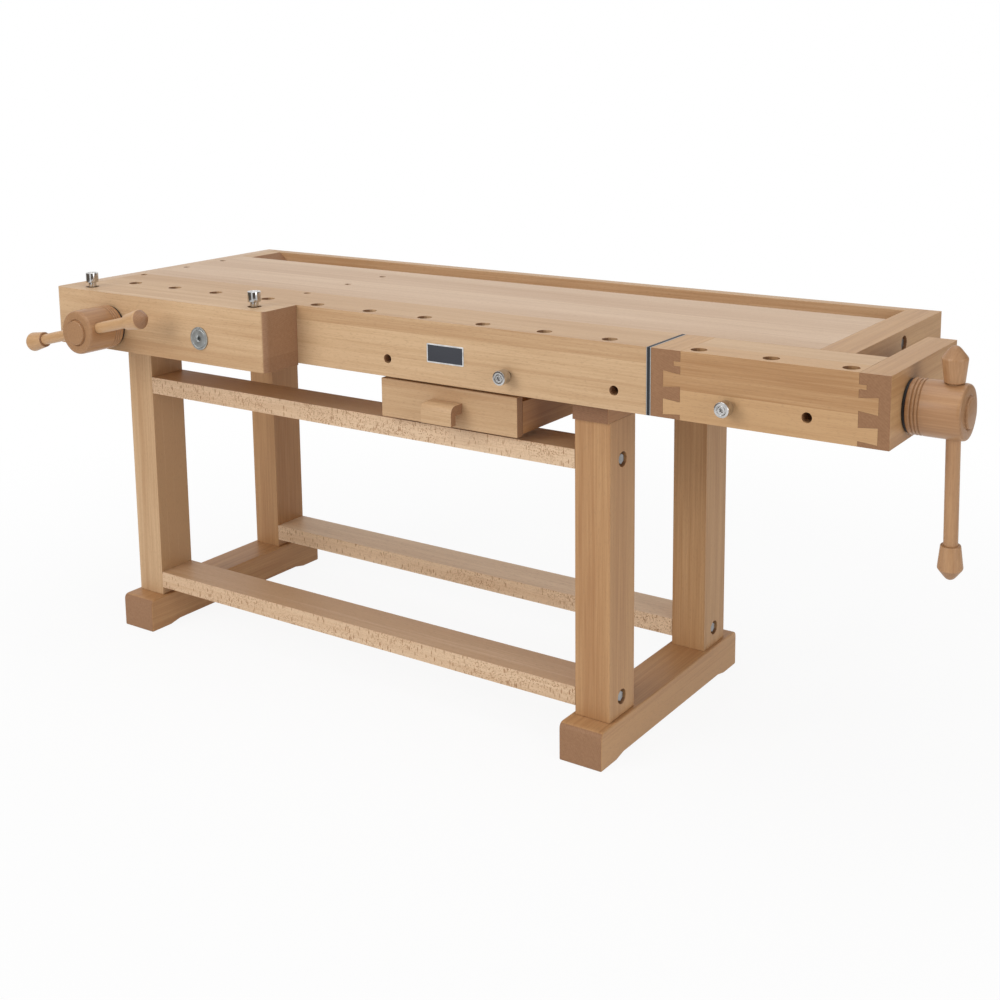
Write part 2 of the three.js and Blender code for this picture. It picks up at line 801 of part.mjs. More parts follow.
const tailNutX = [topLength - tailNutLength, topLength];
const tailNutZ = [tailScrewZ - tailNutHeight / 2, tailScrewZ + tailNutHeight / 2];
const tailNutBore = rodX(
  screwRadius + running,
  [tailNutX[0] - overshoot, tailNutX[1] + overshoot],
  tailScrewY,
  tailScrewZ,
  screwSides,
);
piece("tail_nut", cut(block(tailNutX, [tailNutInset, beamDepth], tailNutZ), [tailNutBore]), "iron");

// Loose dogs that stand out from the front face.
const pegs = [
  { name: "peg_bench", x: beamRight - benchPegInset },
  { name: "peg_tail", x: tailLeft + tailPegShare * tailLength },
];
for (const { name, x } of pegs) {
  const pin = piece(name, geometryFrom(solidFrom(dog(pegShank))), "steel");
  pin.rotation.x = Math.PI / 2;
  pin.position.set(x, -pegRaise, sideHoleZ);
}

// Drawer, hung on two runners whose tongues ride in grooves of its sides.
const drawerRight = drawerX + drawerWidth;
const boxY = drawerFrontY + drawerFrontThickness;
const boxBack = boxY + drawerDepth;
const frontZ = [drawerFrontZ, drawerFrontZ + drawerFrontHeight];
piece("drawer_front", block([drawerX, drawerRight], [drawerFrontY, boxY], frontZ), "beech");

const sideZ = [drawerSideZ, drawerSideZ + drawerSideHeight];
const floorZ = [drawerSideZ + drawerFloorLift, drawerSideZ + drawerFloorLift + drawerFloorThickness];
const tongueZ = [runnerTongueZ, runnerTongueZ + runnerTongueHeight];
const drawerInner = [drawerX + drawerSideThickness, drawerRight - drawerSideThickness];
const drawerSides = [
  { name: "left", side: -1, outer: drawerX, inner: drawerInner[0] },
  { name: "right", side: 1, outer: drawerRight, inner: drawerInner[1] },
];
const ordered = (a, b) => [Math.min(a, b), Math.max(a, b)];
for (const { name, side, outer, inner } of drawerSides) {
  const board = block(ordered(outer, inner), [boxY + seat, boxBack], sideZ);
  const grooveX = ordered(inner - side * overshoot, inner + side * (runnerTongue + running));
  const grooveZ = [tongueZ[0] - running, tongueZ[1] + running];
  const slot = block(grooveX, [boxY, boxBack + overshoot], grooveZ);
  piece("drawer_side_" + name, cut(board, [slot]), "beech");

  const face = inner - side * running;
  const webX = ordered(face, face - side * runnerThickness);
  const runnerFront = boxY + runnerShoulder;
  const behindBeam = beamDepth + seat;
  const web = outline([
    [runnerFront, tongueZ[0]],
    [slabClearBack, tongueZ[0]],
    [slabClearBack, slabZ - seat],
    [behindBeam, slabZ - seat],
    [behindBeam, apronZ - seat],
    [runnerFront, apronZ - seat],
  ]);
  const tongueX = ordered(face - side * overshoot, face + side * runnerTongue);
  const tongue = block(tongueX, [runnerFront, slabClearBack], tongueZ);
  piece("drawer_runner_" + name, join(alongX(web, webX), [tongue]), "beech");
}

const insideX = [drawerInner[0] + seat, drawerInner[1] - seat];
const backY = [boxBack - drawerSideThickness, boxBack];
piece("drawer_bottom", block(insideX, [boxY + seat, boxBack], floorZ), "beech");
const backZ = [floorZ[1] + seat, floorZ[1] + drawerBackHeight];
piece("drawer_back", block(insideX, backY, backZ), "beech");

function pullShape() {
  const back = drawerFrontY - seat;
  const front = back - pullDepth;
  const low = drawerFrontZ + pullLift;
  const high = low + pullHeight;
  const shape = new THREE.Shape();
  shape.moveTo(front, low);
  shape.lineTo(front + pullLip, low);
  shape.lineTo(front + pullLip, high - pullTop);
  shape.lineTo(back, high - pullTop);
  shape.lineTo(back, high);
  shape.lineTo(front + pullRound, high);
  shape.quadraticCurveTo(front, high, front, high - pullRound);
  return shape;
}
const pullX = drawerX + (drawerWidth - pullWidth) / 2;
piece("drawer_pull", alongX(pullShape(), [pullX, pullX + pullWidth]), "beech");

// The origin lies on the floor under the middle of the bench.
const group = new THREE.Group();
group.name = "woodworking_bench";
group.add(bench);
const extent = new THREE.Box3().setFromObject(bench, true);
const centre = extent.getCenter(new THREE.Vector3());
bench.position.set(-centre.x, -centre.y, -extent.min.z);

export default group;
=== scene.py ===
# %% [markdown]
# # A beech woodworking bench with two vises
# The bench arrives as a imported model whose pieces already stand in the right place. This lesson keeps the
# joinery, eases its edges, turns finer hubs, knobs, dogs and screws in place of the plain ones, and gives
# every board its own piece of beech.

# %% Load the bench
import math

import bmesh
import bpy
import numpy as np
from mathutils import Matrix, Vector


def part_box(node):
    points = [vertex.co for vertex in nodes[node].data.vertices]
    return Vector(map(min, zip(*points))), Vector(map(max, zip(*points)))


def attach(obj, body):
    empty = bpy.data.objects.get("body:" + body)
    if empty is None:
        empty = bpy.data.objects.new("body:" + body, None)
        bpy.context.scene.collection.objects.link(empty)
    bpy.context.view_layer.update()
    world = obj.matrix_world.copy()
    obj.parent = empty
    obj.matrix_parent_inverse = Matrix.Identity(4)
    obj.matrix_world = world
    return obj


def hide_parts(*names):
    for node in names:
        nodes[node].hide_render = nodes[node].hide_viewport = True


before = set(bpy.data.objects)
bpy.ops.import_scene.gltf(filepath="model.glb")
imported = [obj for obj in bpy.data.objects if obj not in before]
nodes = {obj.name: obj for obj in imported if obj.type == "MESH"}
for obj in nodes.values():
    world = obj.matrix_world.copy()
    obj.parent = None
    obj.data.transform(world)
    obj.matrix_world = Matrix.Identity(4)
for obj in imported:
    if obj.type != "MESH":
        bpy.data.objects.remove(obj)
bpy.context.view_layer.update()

# %% [markdown]
# ## Camera
# The bench is seen from its right front corner, from a little above the top. The lens is shifted down
# instead of tilting the camera further, so that upright legs stay nearly upright, as with a view camera.
# The place is given in bench terms: from the left end, from the front face and from the floor.

# %% Camera at the right front corner
BENCH_CORNER = Vector((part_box("end_cap_left")[0].x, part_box("front_beam")[0].y, 0.0))
CAMERA_PLACE = Vector((2.71137, -2.25881, 1.38384))
YAW, PITCH, ROLL = math.radians(35.0), math.radians(9.89), math.radians(-0.75)


def put(name, data):
    """A new object at the origin, linked into the scene."""
    made = bpy.data.objects.new(name, data)
    bpy.context.scene.collection.objects.link(made)
    return made


camera_data = bpy.data.cameras.new("camera")
camera_data.sensor_width = 36.0
camera_data.lens = 52.21
camera_data.shift_x = 0.02
camera_data.shift_y = -0.2
camera = put("camera", camera_data)

forward = Vector((-math.sin(YAW) * math.cos(PITCH), math.cos(YAW) * math.cos(PITCH), -math.sin(PITCH)))
level_right = forward.cross(Vector((0, 0, 1))).normalized()
level_up = level_right.cross(forward)
right = math.cos(ROLL) * level_right + math.sin(ROLL) * level_up
up = right.cross(forward)
turned = Matrix((right, up, -forward)).transposed().to_4x4()
camera.matrix_world = Matrix.Translation(BENCH_CORNER + CAMERA_PLACE) @ turned
bpy.context.scene.camera = camera
print("camera at", [round(v, 3) for v in camera.matrix_world.translation])

# %% [markdown]
# ## Light
# A white studio: an even sky lights everything, one large soft lamp on the front left models the faces,
# one from above lifts the top, and one on the right keeps the leg sides from going dead. The camera and
# every reflection see plain white around the bench, while the floor still takes a soft shadow. All of it
# is wired from nodes, so a few helpers come first.

# %% Node helpers
WHITE = (1.0, 1.0, 1.0, 1.0)


def shade(red, green, blue):
    """A colour as a screen shows it, 0 to 255, in the linear values that a shader takes."""
    part = np.array([red, green, blue]) / 255.0
    linear = np.where(part <= 0.04045, part / 12.92, ((part + 0.055) / 1.055) ** 2.4)
    return (*linear.tolist(), 1.0)


def wire(tree, kind, settings=None, **sockets):
    """Adds a shader node. A keyword names an input, or gives its number as i0, i1 and so on. Its value is a
    constant or another node's output."""
    made = tree.nodes.new("ShaderNode" + kind)
    for key, value in (settings or {}).items():
        setattr(made, key, value)
    for key, value in sockets.items():
        numbered = key[0] == "i" and key[1:].isdigit()
        socket = made.inputs[int(key[1:])] if numbered else made.inputs[key.replace("_", " ")]
        if isinstance(value, bpy.types.NodeSocket):
            tree.links.new(value, socket)
        else:
            socket.default_value = value
    return made


def calc(tree, operation, a, b=0.0):
    """One step of arithmetic on two values."""
    return wire(tree, "Math", {"operation": operation}, i0=a, i1=b).outputs[0]


def seen_directly(tree):
    """1 for rays that show the surroundings: those of the camera, of reflections and through glass."""
    path = wire(tree, "LightPath")
    plain = calc(tree, "MAXIMUM", path.outputs["Is Camera Ray"], path.outputs["Is Glossy Ray"])
    return calc(tree, "MAXIMUM", plain, path.outputs["Is Transmission Ray"])


def bare_look(name):
    """A material without any nodes yet, and its tree."""
    look = bpy.data.materials.new(name)
    look.use_nodes = True
    look.node_tree.nodes.clear()
    return look, look.node_tree


print("helpers ready, half grey is", round(shade(128, 128, 128)[0], 3))

# %% Sky
SKY_LIGHT = 0.5

world = bpy.data.worlds.new("studio")
bpy.context.scene.world = world
bpy.context.scene.view_settings.view_transform = "Standard"
world.use_nodes = True
sky = world.node_tree
sky.nodes.clear()
soft = wire(sky, "Background", Color=WHITE, Strength=SKY_LIGHT)
white = wire(sky, "Background", Color=WHITE, Strength=1.0)
both = wire(sky, "MixShader", i0=seen_directly(sky), i1=soft.outputs[0], i2=white.outputs[0])
wire(sky, "OutputWorld", Surface=both.outputs[0])
print("sky of strength", SKY_LIGHT)

# %% Lamps
LAMP_AIM = Vector((0, 0, 0.5))

# Place, width and power of each lamp.
lamps = {
    "key": ((-1.9, -4.2, 2.7), 3.2, 96.0),
    "top": ((0.3, -0.4, 4.2), 3.0, 36.0),
    "side": ((4.6, -1.6, 1.6), 2.4, 42.0),
}
for name, (place, size, power) in lamps.items():
    lamp = bpy.data.lights.new(name, "AREA")
    lamp.shape = "DISK"
    lamp.size = size
    lamp.energy = power
    holder = put(name, lamp)
    holder.location = place
    holder.rotation_mode = "QUATERNION"
    holder.rotation_quaternion = (LAMP_AIM - Vector(place)).to_track_quat("-Z", "Y")
print("studio with", len(lamps), "lamps")

# %% [markdown]
# The floor is a matt sheet that takes the shadow. Near the bench most of what the camera sees of it is its
# own white glow, which keeps the shadow faint. Further out the glow is all that is seen, so the sheet ends
# in plain white with no horizon.

# %% Floor
FLOOR_REACH, FLOOR_DROP = 40.0, 0.0006
FLOOR_GREY = (0.86, 0.86, 0.86, 1.0)
FLOOR_GLOW = 0.91
FADE_START, FADE_END = 0.9, 2.6

floor_mesh = bpy.data.meshes.new("floor")
signs = ((-1, -1), (1, -1), (1, 1), (-1, 1))
floor_corners = [(sx * FLOOR_REACH, sy * FLOOR_REACH, -FLOOR_DROP) for sx, sy in signs]
floor_mesh.from_pydata(floor_corners, [], [(0, 1, 2, 3)])
floor = put("floor", floor_mesh)

floor_look, tree = bare_look("studio_floor")
matt = wire(tree, "BsdfDiffuse", Color=FLOOR_GREY)
glow = wire(tree, "Emission", Color=WHITE, Strength=1.0)
ground = wire(tree, "TexCoord").outputs["Object"]
from_bench = wire(tree, "VectorMath", {"operation": "LENGTH"}, i0=ground).outputs["Value"]
fade = wire(
    tree, "MapRange", {"interpolation_type": "SMOOTHSTEP"},
    Value=from_bench, From_Min=FADE_START, From_Max=FADE_END, To_Min=FLOOR_GLOW, To_Max=1.0,
)
share = calc(tree, "MULTIPLY", seen_directly(tree), fade.outputs[0])
mixed = wire(tree, "MixShader", i0=share, i1=matt.outputs[0], i2=glow.outputs[0])
wire(tree, "OutputMaterial", Surface=mixed.outputs[0])
floor_mesh.materials.append(floor_look)
print("floor of", 2 * FLOOR_REACH, "m")

# %% [markdown]
# Polished steel looks like whatever stands round it, and in an all-white room it looks like plaster.
# Photographers put dark cards outside the picture for that. These are three upright arcs far from the
# bench that only mirror reflections can see: they light nothing, shade nothing and never show to the
# camera.

# %% Dark cards for the steel
CARD_DISTANCE, CARD_LOW, CARD_HIGH = 3.4, 0.02, 2.6
CARD_ARCS = ((-168, -104), (-80, -30), (2, 60))
CARD_SHADE = shade(104, 96, 88)
UNSEEN_BY = ("camera", "diffuse", "shadow", "transmission", "volume_scatter")


def card_arc(start, stop, steps=9):
    """Point(u, v) on an upright cylinder about the bench: u is the angle in degrees and v the height."""
    u = np.radians(np.linspace(start, stop, steps))
    ring = CARD_DISTANCE * np.stack([np.cos(u), np.sin(u)], -1)
    low = np.column_stack([ring, np.full(steps, CARD_LOW)])
    high = np.column_stack([ring, np.full(steps, CARD_HIGH)])
    k = np.arange(steps - 1)
    return np.vstack([low, high]), np.stack([k, k + 1, k + 1 + steps, k + steps], -1)


card_look, tree = bare_look("dark_card")
card_glow = wire(tree, "Emission", Color=CARD_SHADE, Strength=1.0)
wire(tree, "OutputMaterial", Surface=card_glow.outputs[0])
for number, (start, stop) in enumerate(CARD_ARCS):
    points, faces = card_arc(start, stop)
    card_mesh = bpy.data.meshes.new(f"card_{number}")
    card_mesh.from_pydata(points.tolist(), [], faces.tolist())
    card_mesh.materials.append(card_look)
    card = put(f"card_{number}", card_mesh)
    for ray in UNSEEN_BY:
        setattr(card, "visible_" + ray, False)
print(len(CARD_ARCS), "dark cards")

# %% [markdown]
# ## Beech, as one shader group
# Beech is a plain wood: long soft bands along the grain, hair-fine fibre lines, and short brown flecks
# where the cut meets the rays. On a board sawn along the rays there are also small dots and upright
# dashes. On a sawn end the growth rings show and the wood looks darker. All of that is worked out from the
# position in the board, with the grain along X and the glued strips side by side along Y, so the same
# group serves every board and a wide top can be shown as the strips it is made of.

# %% Noise and colour helpers


def step(tree, value, low, high):
    """A smooth rise from 0 at low to 1 at high, or a fall where low is the larger."""
    ramp = {"interpolation_type": "SMOOTHSTEP"}
    return wire(tree, "MapRange", ramp, Value=value, From_Min=low, From_Max=high).outputs[0]


def tint(tree, factor, a, b, mode="MIX"):
    """Colour a turned towards colour b."""
    colours = {"data_type": "RGBA", "blend_type": mode}
    return wire(tree, "Mix", colours, i0=factor, i6=a, i7=b).outputs[2]


def vector_calc(tree, operation, a, b):
    """One step of arithmetic on two vectors."""
    return wire(tree, "VectorMath", {"operation": operation}, i0=a, i1=b).outputs[0]


def parts_of(tree, vector):
    """The X, Y and Z of a vector."""
    return wire(tree, "SeparateXYZ", Vector=vector).outputs


def cloud(tree, position, scale, detail=2.0, distortion=0.0):
    """Noise from 0 to 1 that is long along an axis whose scale is small."""
    place = vector_calc(tree, "MULTIPLY", position, scale)
    noise = wire(tree, "TexNoise", Vector=place, Scale=1.0, Detail=detail, Distortion=distortion)
    return noise.outputs["Fac"]


def times(tree, a, b):
    """a * b."""
    return calc(tree, "MULTIPLY", a, b)


def swing(tree, value, weight, centre=0.5):
    """(value - centre) * weight."""
    return times(tree, calc(tree, "SUBTRACT", value, centre), weight)


def total(tree, *values):
    """The sum of all values."""
    added = values[0]
    for value in values[1:]:
        added = calc(tree, "ADD", added, value)
    return added


def clamped(tree, value):
    """The value, kept between 0 and 1."""
    return wire(tree, "Clamp", Value=value).outputs[0]


def looks_along(tree, facing, axis, low, high):
    """1 on faces that look along the axis, 0 on the others."""
    return step(tree, calc(tree, "ABSOLUTE", facing[axis]), low, high)


print("noise and colour helpers ready")

# %% [markdown]
# A glued-up board is a row of strips. The number of a strip picks where in the log it was cut, so its
# figure does not run on into its neighbour, and every other strip can be a little darker. The figure
# itself is the sum of four noises, from broad drift to single fibres.

# %% Strips and figure
STRIP_STEP = 1.73
STRIP_JUMP = (7.0, 3.0, 3.0)
STRIP_LUCK = 0.25
MIDDLE_TONE = 0.55
FACE_START, FACE_FULL = 0.6, 0.9

# Scale along and across the grain, detail, distortion and weight of each noise.
FIGURE = {
    "bands": ((1.1, 26.0, 26.0), 2.0, 0.5, 1.15),
    "fibres": ((7.0, 420.0, 420.0), 3.0, 0.0, 1.3),
    "streaks": ((2.4, 120.0, 120.0), 2.0, 0.3, 1.1),
    "drift": ((1.6, 6.0, 6.0), 1.0, 0.0, 0.7),
}


def glued_strips(tree, given):
    """Strip = floor((Y + shift) / width). Gives the place in the log, the strip's tone and its luck."""
    across = calc(tree, "ADD", parts_of(tree, given["Position"])[1], given["Strip Shift"])
    strip = calc(tree, "FLOOR", calc(tree, "DIVIDE", across, given["Strip"]))
    draw = total(tree, times(tree, strip, STRIP_STEP), given["Seed"])
    pick = wire(tree, "TexWhiteNoise", {"noise_dimensions": "1D"}, W=draw)
    jump = vector_calc(tree, "MULTIPLY", pick.outputs["Color"], STRIP_JUMP)
    wood = vector_calc(tree, "ADD", given["Position"], jump)
    every_other = calc(tree, "SUBTRACT", 0.5, calc(tree, "FLOORED_MODULO", strip, 2.0))
    strip_tone = times(tree, every_other, given["Strip Contrast"])
    return wood, strip_tone, pick.outputs["Value"]


def figure_tone(tree, given, facing, wood, strip_tone, luck):
    """Tone = middle + figure * sum of weighted noises + strip tone + luck + painted side shading. Gives
    fibres too.
    """
    noises = {}
    swings = []
    for name, (scale, detail, distortion, weight) in FIGURE.items():
        noises[name] = cloud(tree, wood, scale, detail, distortion)
        swings.append(swing(tree, noises[name], weight))
    figure = times(tree, total(tree, *swings), given["Figure"])
    # Painted light and shade: faces that look across the strips are made lighter or darker, board by board,
    # to stand in for how light falls on them.
    on_shaded_side = looks_along(tree, facing, 1, FACE_START, FACE_FULL)
    painted_side_shading = times(tree, on_shaded_side, given["Edge Tone"])
    tone = total(tree, figure, MIDDLE_TONE, strip_tone, swing(tree, luck, STRIP_LUCK), painted_side_shading)
    return clamped(tree, tone), noises["fibres"]


print("figure of", len(FIGURE), "noises")

# %% [markdown]
# Flecks lie along the grain on every long face. The dots and dashes of a board sawn along the rays are the
# middles of Voronoi cells: cells that are stretched across the grain give dashes, and a random value of
# each cell decides how strongly its mark shows.

# %% Flecks, dots and dashes
FLECK_SCALE, FLECK_START, FLECK_FULL, FLECK_WEIGHT = (110.0, 620.0, 620.0), 0.56, 0.7, 0.26
PATCH_SCALE, PATCH_START, PATCH_FULL = (5.0, 9.0, 5.0), 0.42, 0.58
DOT_SCALE, DOT_LEAST, DOT_WEIGHT = (330.0, 270.0, 60.0), 0.3, 0.8
DASH_SCALE, DASH_RARE = (270.0, 78.0, 40.0), 0.6
SPOT_EDGE, SPOT_FULL, SPOT_SURE = 0.52, 0.3, 0.98


def spots(tree, wood, scale, rare):
    """One mark in the middle of each cell: none where its random value is below rare, full at the top."""
    place = vector_calc(tree, "MULTIPLY", wood, scale)
    cells = wire(tree, "TexVoronoi", {"feature": "F1"}, Vector=place, Scale=1.0)
    luck = wire(tree, "SeparateColor", Color=cells.outputs["Color"]).outputs[0]
    mark = step(tree, cells.outputs["Distance"], SPOT_EDGE, SPOT_FULL)
    return times(tree, mark, step(tree, luck, rare, SPOT_SURE))


def ray_marks(tree, given, facing, wood):
    """Flecks = a step on fine noise. Dashes = the larger of upright dashes and of dots in patches."""
    flecks = step(tree, cloud(tree, wood, FLECK_SCALE, 1.0), FLECK_START, FLECK_FULL)
    patch = step(tree, cloud(tree, wood, PATCH_SCALE, 2.0), PATCH_START, PATCH_FULL)
    dots = times(tree, spots(tree, wood, DOT_SCALE, 0.0), calc(tree, "ADD", patch, DOT_LEAST))
    dashes = spots(tree, wood, DASH_SCALE, DASH_RARE)
    dashes = calc(tree, "MAXIMUM", times(tree, dots, DOT_WEIGHT), dashes)
    on_ray = looks_along(tree, facing, 2, FACE_START, FACE_FULL)
    dashes = times(tree, times(tree, dashes, on_ray), given["Rays"])
    return times(tree, flecks, FLECK_WEIGHT), dashes


print("marks ready")

# %% [markdown]
# On a sawn end the rings run about the pith, the middle of the tree, which usually lies outside the board.
# A slow noise keeps them from being perfect circles, and pores and mottle lie between them.

# %% Sawn ends
RING_WAVES, RING_WEIGHT = 1500.0, 0.12
WOBBLE_SCALE, WOBBLE_SIZE = (12.0, 40.0, 40.0), 0.012
PORE_SCALE, PORE_WEIGHT = (500.0, 700.0, 700.0), 0.4
MOTTLE_SCALE, MOTTLE_CENTRE, MOTTLE_WEIGHT = (90.0, 190.0, 260.0), 0.25, 1.2
END_SHADOW = (0.74, 0.69, 0.65, 1.0)


def sawn_end(tree, given, strip_tone):
    """Tone = sine of the distance from the pith + pores + mottle + strip tone, from dark to plain."""
    position = given["Position"]
    from_pith = parts_of(tree, vector_calc(tree, "SUBTRACT", position, given["Pith"]))
    squares = [calc(tree, "POWER", from_pith[axis], 2.0) for axis in (1, 2)]
    radius = calc(tree, "SQRT", total(tree, *squares))
    wobble = times(tree, cloud(tree, position, WOBBLE_SCALE, 2.0), WOBBLE_SIZE)
    wave = calc(tree, "SINE", times(tree, total(tree, radius, wobble), RING_WAVES))
    pores = times(tree, cloud(tree, position, PORE_SCALE, 2.0), PORE_WEIGHT)
    mottle = swing(tree, cloud(tree, position, MOTTLE_SCALE, 3.0), MOTTLE_WEIGHT, MOTTLE_CENTRE)
    tone = total(tree, times(tree, wave, RING_WEIGHT), pores, mottle, strip_tone)
    dark = tint(tree, 1.0, given["End"], END_SHADOW, "MULTIPLY")
    return tint(tree, clamped(tree, tone), dark, given["End"])


print("rings every", round(1000 * 2 * math.pi / RING_WAVES, 1), "mm")

# %% [markdown]
# The group joins these parts and puts out a colour, a roughness and a height, which each material feeds to
# its own surface. Sawn ends are duller than planed faces, and the marks lie a little deeper than the wood.

# %% The beech group
END_START, END_FULL = 0.4, 0.62
FLECK_COLOUR, DASH_COLOUR = shade(156, 119, 85), shade(144, 95, 53)
WOOD_ROUGHNESS, FIBRE_ROUGHNESS, END_ROUGHNESS = 0.4, 0.14, 0.1
MARK_SINK = 0.6
BEECH_INPUTS = {
    "Vector": ("Position", "Facing", "Pith"),
    "Color": ("Pale", "Deep", "End"),
    "Float": ("Strip", "Strip Shift", "Strip Contrast", "Edge Tone", "Figure", "Rays", "Seed"),
}
BEECH_OUTPUTS = {"Color": ("Color",), "Float": ("Roughness", "Height")}


def feed(tree, node, **outputs):
    """Links outputs of other nodes to the node's inputs of that name."""
    for key, output in outputs.items():
        tree.links.new(output, node.inputs[key.replace("_", " ")])


def beech_group():
    """Figure and marks on long faces, rings on sawn ends, a fresh pattern for each glued strip."""
    tree = bpy.data.node_groups.new("Beech", "ShaderNodeTree")
    for way, sockets in (("INPUT", BEECH_INPUTS), ("OUTPUT", BEECH_OUTPUTS)):
        for kind, labels in sockets.items():
            for label in labels:
                tree.interface.new_socket(label, in_out=way, socket_type="NodeSocket" + kind)
    given = {socket.name: socket for socket in tree.nodes.new("NodeGroupInput").outputs}
    facing = parts_of(tree, given["Facing"])

    wood, strip_tone, luck = glued_strips(tree, given)
    tone, fibres = figure_tone(tree, given, facing, wood, strip_tone, luck)
    flecks, dashes = ray_marks(tree, given, facing, wood)
    long_face = tint(tree, tone, given["Deep"], given["Pale"])
    long_face = tint(tree, flecks, long_face, FLECK_COLOUR)
    long_face = tint(tree, dashes, long_face, DASH_COLOUR)

    on_end = looks_along(tree, facing, 0, END_START, END_FULL)
    colour = tint(tree, on_end, long_face, sawn_end(tree, given, strip_tone))
    fibre_dull = times(tree, fibres, FIBRE_ROUGHNESS)
    end_dull = times(tree, on_end, END_ROUGHNESS)
    dull = total(tree, fibre_dull, end_dull, WOOD_ROUGHNESS)
    sunk = times(tree, calc(tree, "MAXIMUM", flecks, dashes), MARK_SINK)
    height = calc(tree, "SUBTRACT", fibres, sunk)
    feed(tree, tree.nodes.new("NodeGroupOutput"), Color=colour, Roughness=dull, Height=height)
    return tree


beech_tree = beech_group()
print("beech group of", len(beech_tree.nodes), "nodes")

# %% [markdown]
# ## One board, one material
# No two boards of a bench come from the same tree. The tones below are the few that the eye can tell apart
# here: the pale pinkish top, the fair stretchers, the golden fronts, the amber and tan of the end and the
# legs, the warm boards underneath and the redder turned parts. Each board then gets its own place in the
# log, its own grain direction and, where it is glued up from strips, the width of those strips.

# %% Beech materials
GRAIN_BUMP, GRAIN_DEPTH = 0.25, 0.0004
WOOD_GLOSS = 0.35
COAT_ROUGHNESS = 0.16
ONE_PIECE = 10.0
PLAIN_PITH = (0.0, 0.13, -0.09)
AXES = {"X": 0, "Y": 1, "Z": 2}

# Palest and deepest colour of the long faces, and the colour of a sawn end.
TONES = {
    "pale": (shade(212, 183, 154), shade(191, 157, 125), shade(164, 128, 100)),
    "fair": (shade(240, 213, 181), shade(194, 156, 118), shade(160, 121, 90)),
    "golden": (shade(208, 174, 135), shade(184, 145, 105), shade(160, 121, 90)),
    "amber": (shade(198, 158, 114), shade(171, 127, 84), shade(158, 117, 83)),
    "tan": (shade(193, 150, 105), shade(167, 120, 78), shade(164, 124, 91)),
    "warm": (shade(188, 143, 99), shade(162, 114, 74), shade(150, 110, 80)),
    "turned": (shade(186, 143, 102), shade(157, 112, 74), shade(172, 130, 91)),
}


def new_look(name):
    """A material with the usual surface: returns it, its tree, the surface and the texture coordinates."""
    look = bpy.data.materials.new(name)
    look.use_nodes = True
    tree = look.node_tree
    return look, tree, tree.nodes["Principled BSDF"], wire(tree, "TexCoord")


def beech(name, tone, grain, stack, seed, strip=ONE_PIECE, shift=0.0, contrast=0.0, edge=0.0, figure=1.0,
          rays=0.0, pith=None, turn=None, coat=0.0):
    """Beech with its grain along one axis, and its strips glued side by side along another."""
    look, tree, surface, where = new_look(name)
    order = [AXES[grain], AXES[stack]]
    order.append(3 - sum(order))

    def grain_first(vector, kind):
        """The vector with its parts in the order: along the grain, across the strips, the third axis."""
        if turn is not None:
            mapping = {"vector_type": kind}
            vector = wire(tree, "Mapping", mapping, Vector=vector, Rotation=turn).outputs[0]
        parts = parts_of(tree, vector)
        first, second, third = (parts[axis] for axis in order)
        return wire(tree, "CombineXYZ", X=first, Y=second, Z=third).outputs[0]

    pale, deep, end = TONES[tone]
    wood = wire(
        tree, "Group", {"node_tree": beech_tree},
        Position=grain_first(where.outputs["Object"], "POINT"),
        Facing=grain_first(where.outputs["Normal"], "VECTOR"),
        Pale=pale, Deep=deep, End=end,
        Strip=strip, Strip_Shift=shift, Strip_Contrast=contrast, Edge_Tone=edge,
        Figure=figure, Rays=rays, Seed=seed,
        Pith=PLAIN_PITH if pith is None else [pith[axis] for axis in order],
    ).outputs
    bump = wire(tree, "Bump", Strength=GRAIN_BUMP, Distance=GRAIN_DEPTH, Height=wood["Height"])
    feed(tree, surface, Base_Color=wood["Color"], Roughness=wood["Roughness"], Normal=bump.outputs[0])
    surface.inputs["Specular IOR Level"].default_value = WOOD_GLOSS
    surface.inputs["Coat Weight"].default_value = coat
    surface.inputs["Coat Roughness"].default_value = COAT_ROUGHNESS
    return look


print(len(TONES), "tones of beech")

# %% Boards
SEED_STEP, SEED_START = 3.17, 1.4
ray_sawn = dict(figure=0.45, rays=0.75)
